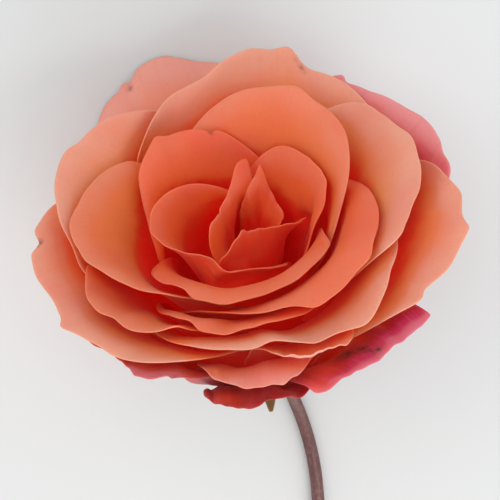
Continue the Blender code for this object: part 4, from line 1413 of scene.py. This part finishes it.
# %% [markdown]
# ## Stage
#
# The flower lies on a pale, matt table, because a light ground shows its dark parts best. A large
# plane with a faint drift of grey is enough. It is stage, so it stays out of the rose itself.

# %% Stage
TABLE_SIZE = 6.0
bpy.ops.mesh.primitive_plane_add(size=TABLE_SIZE, location=(0, 0, 0))
table = bpy.context.active_object
table.name = "table"
table_finish, tree, shader = new_material("pale_table", 0.9)
tone = noise(tree, object_place(tree), 3.0, 2.0)
grey = curve(tree, tone, ((0.3, (0.645, 0.665, 0.665)), (0.7, (0.66, 0.675, 0.67))))
tree.links.new(grey, shader.inputs["Base Color"])
table.data.materials.append(table_finish)
table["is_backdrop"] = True
print("table:", TABLE_SIZE, "m wide")

# %% [markdown]
# ## Light
#
# Soft daylight suits petals: it wraps round them and keeps their colours clean. Two broad area
# lights give it a direction, a warm one where the bloom opens and a cooler one over the stem, and a
# white world fills the rest. A sun lamp would cut hard shadows into the bloom.

# %% Light
HEART = (0, 0, 25.0)


def window(name, place, energy, size, colour):
    """A soft square light that looks at the bloom's heart."""
    lamp = bpy.data.lights.new(name, "AREA")
    lamp.energy = energy
    lamp.size = size
    lamp.color = colour
    made = bpy.data.objects.new(name, lamp)
    bpy.context.scene.collection.objects.link(made)
    heart = Vector(to_table(HEART))
    made.location = heart + Vector(place)
    made.rotation_euler = (-Vector(place)).to_track_quat("-Z", "Y").to_euler()


window("sky_window", (-0.5, 0.75, 1.3), 6.5, 1.3, (1.0, 0.99, 0.97))
window("fill_window", (0.15, -1.0, 0.85), 11.0, 1.2, (0.97, 0.98, 1.0))
world = bpy.data.worlds.new("daylight")
world.use_nodes = True
background = world.node_tree.nodes["Background"]
background.inputs["Color"].default_value = (1.0, 1.0, 1.0, 1.0)
background.inputs["Strength"].default_value = 0.8
bpy.context.scene.world = world
bpy.context.scene.view_settings.view_transform = "Standard"

# %% [markdown]
# ## Camera
#
# The camera looks into the bloom 40 degrees off its axis: near enough to the axis to see the heart,
# and far enough off it to see how the petals stand. Its place is worked out in the bloom's frame and
# turned with the bloom, so the view stays right however the rose lies. A long lens keeps the sizes
# of near and far petals true.

# %% Camera
VIEW_ANGLE = math.radians(40.0)
ROLL = math.radians(-16.0)
DISTANCE = 450.0
LENS = 145.8
# the middle of the picture: right of the bloom's axis, up, and towards the camera, in mm
MIDDLE = (-2.667, 15.11, 25.0)
toward = np.array([0.0, -math.sin(VIEW_ANGLE), math.cos(VIEW_ANGLE)])
level_up = np.array([0.0, math.cos(VIEW_ANGLE), math.sin(VIEW_ANGLE)])
level_right = np.array([1.0, 0.0, 0.0])
right = level_right * math.cos(ROLL) + level_up * math.sin(ROLL)
up = -level_right * math.sin(ROLL) + level_up * math.cos(ROLL)
centre = MIDDLE[0] * right + MIDDLE[1] * up + MIDDLE[2] * toward
camera = bpy.data.cameras.new("camera")
camera.lens = LENS
camera.sensor_width = 36.0
camera.clip_start = 0.02
camera.clip_end = 20.0
camera_object = bpy.data.objects.new("camera", camera)
bpy.context.scene.collection.objects.link(camera_object)
turn = Matrix([(lay @ right), (lay @ up), (lay @ toward)]).transposed()
camera_object.matrix_world = Matrix.Translation(Vector(to_table(centre + DISTANCE * toward))) @ turn.to_4x4()
bpy.context.scene.camera = camera_object
print("camera elevation:", round(math.degrees(math.asin((lay @ toward)[2])), 1), "degrees")

# %% [markdown]
# ## Sizes
#
# The rose that was dressed has to be as big as the engineering model.

# %% Sizes, and the end
boxes = {"cad": cad_box, "visual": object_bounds()}
{key: [list(corner) for corner in box] for key, box in boxes.items()}
print("visual box:", [[round(value / MM, 1) for value in corner] for corner in boxes["visual"]], "mm")
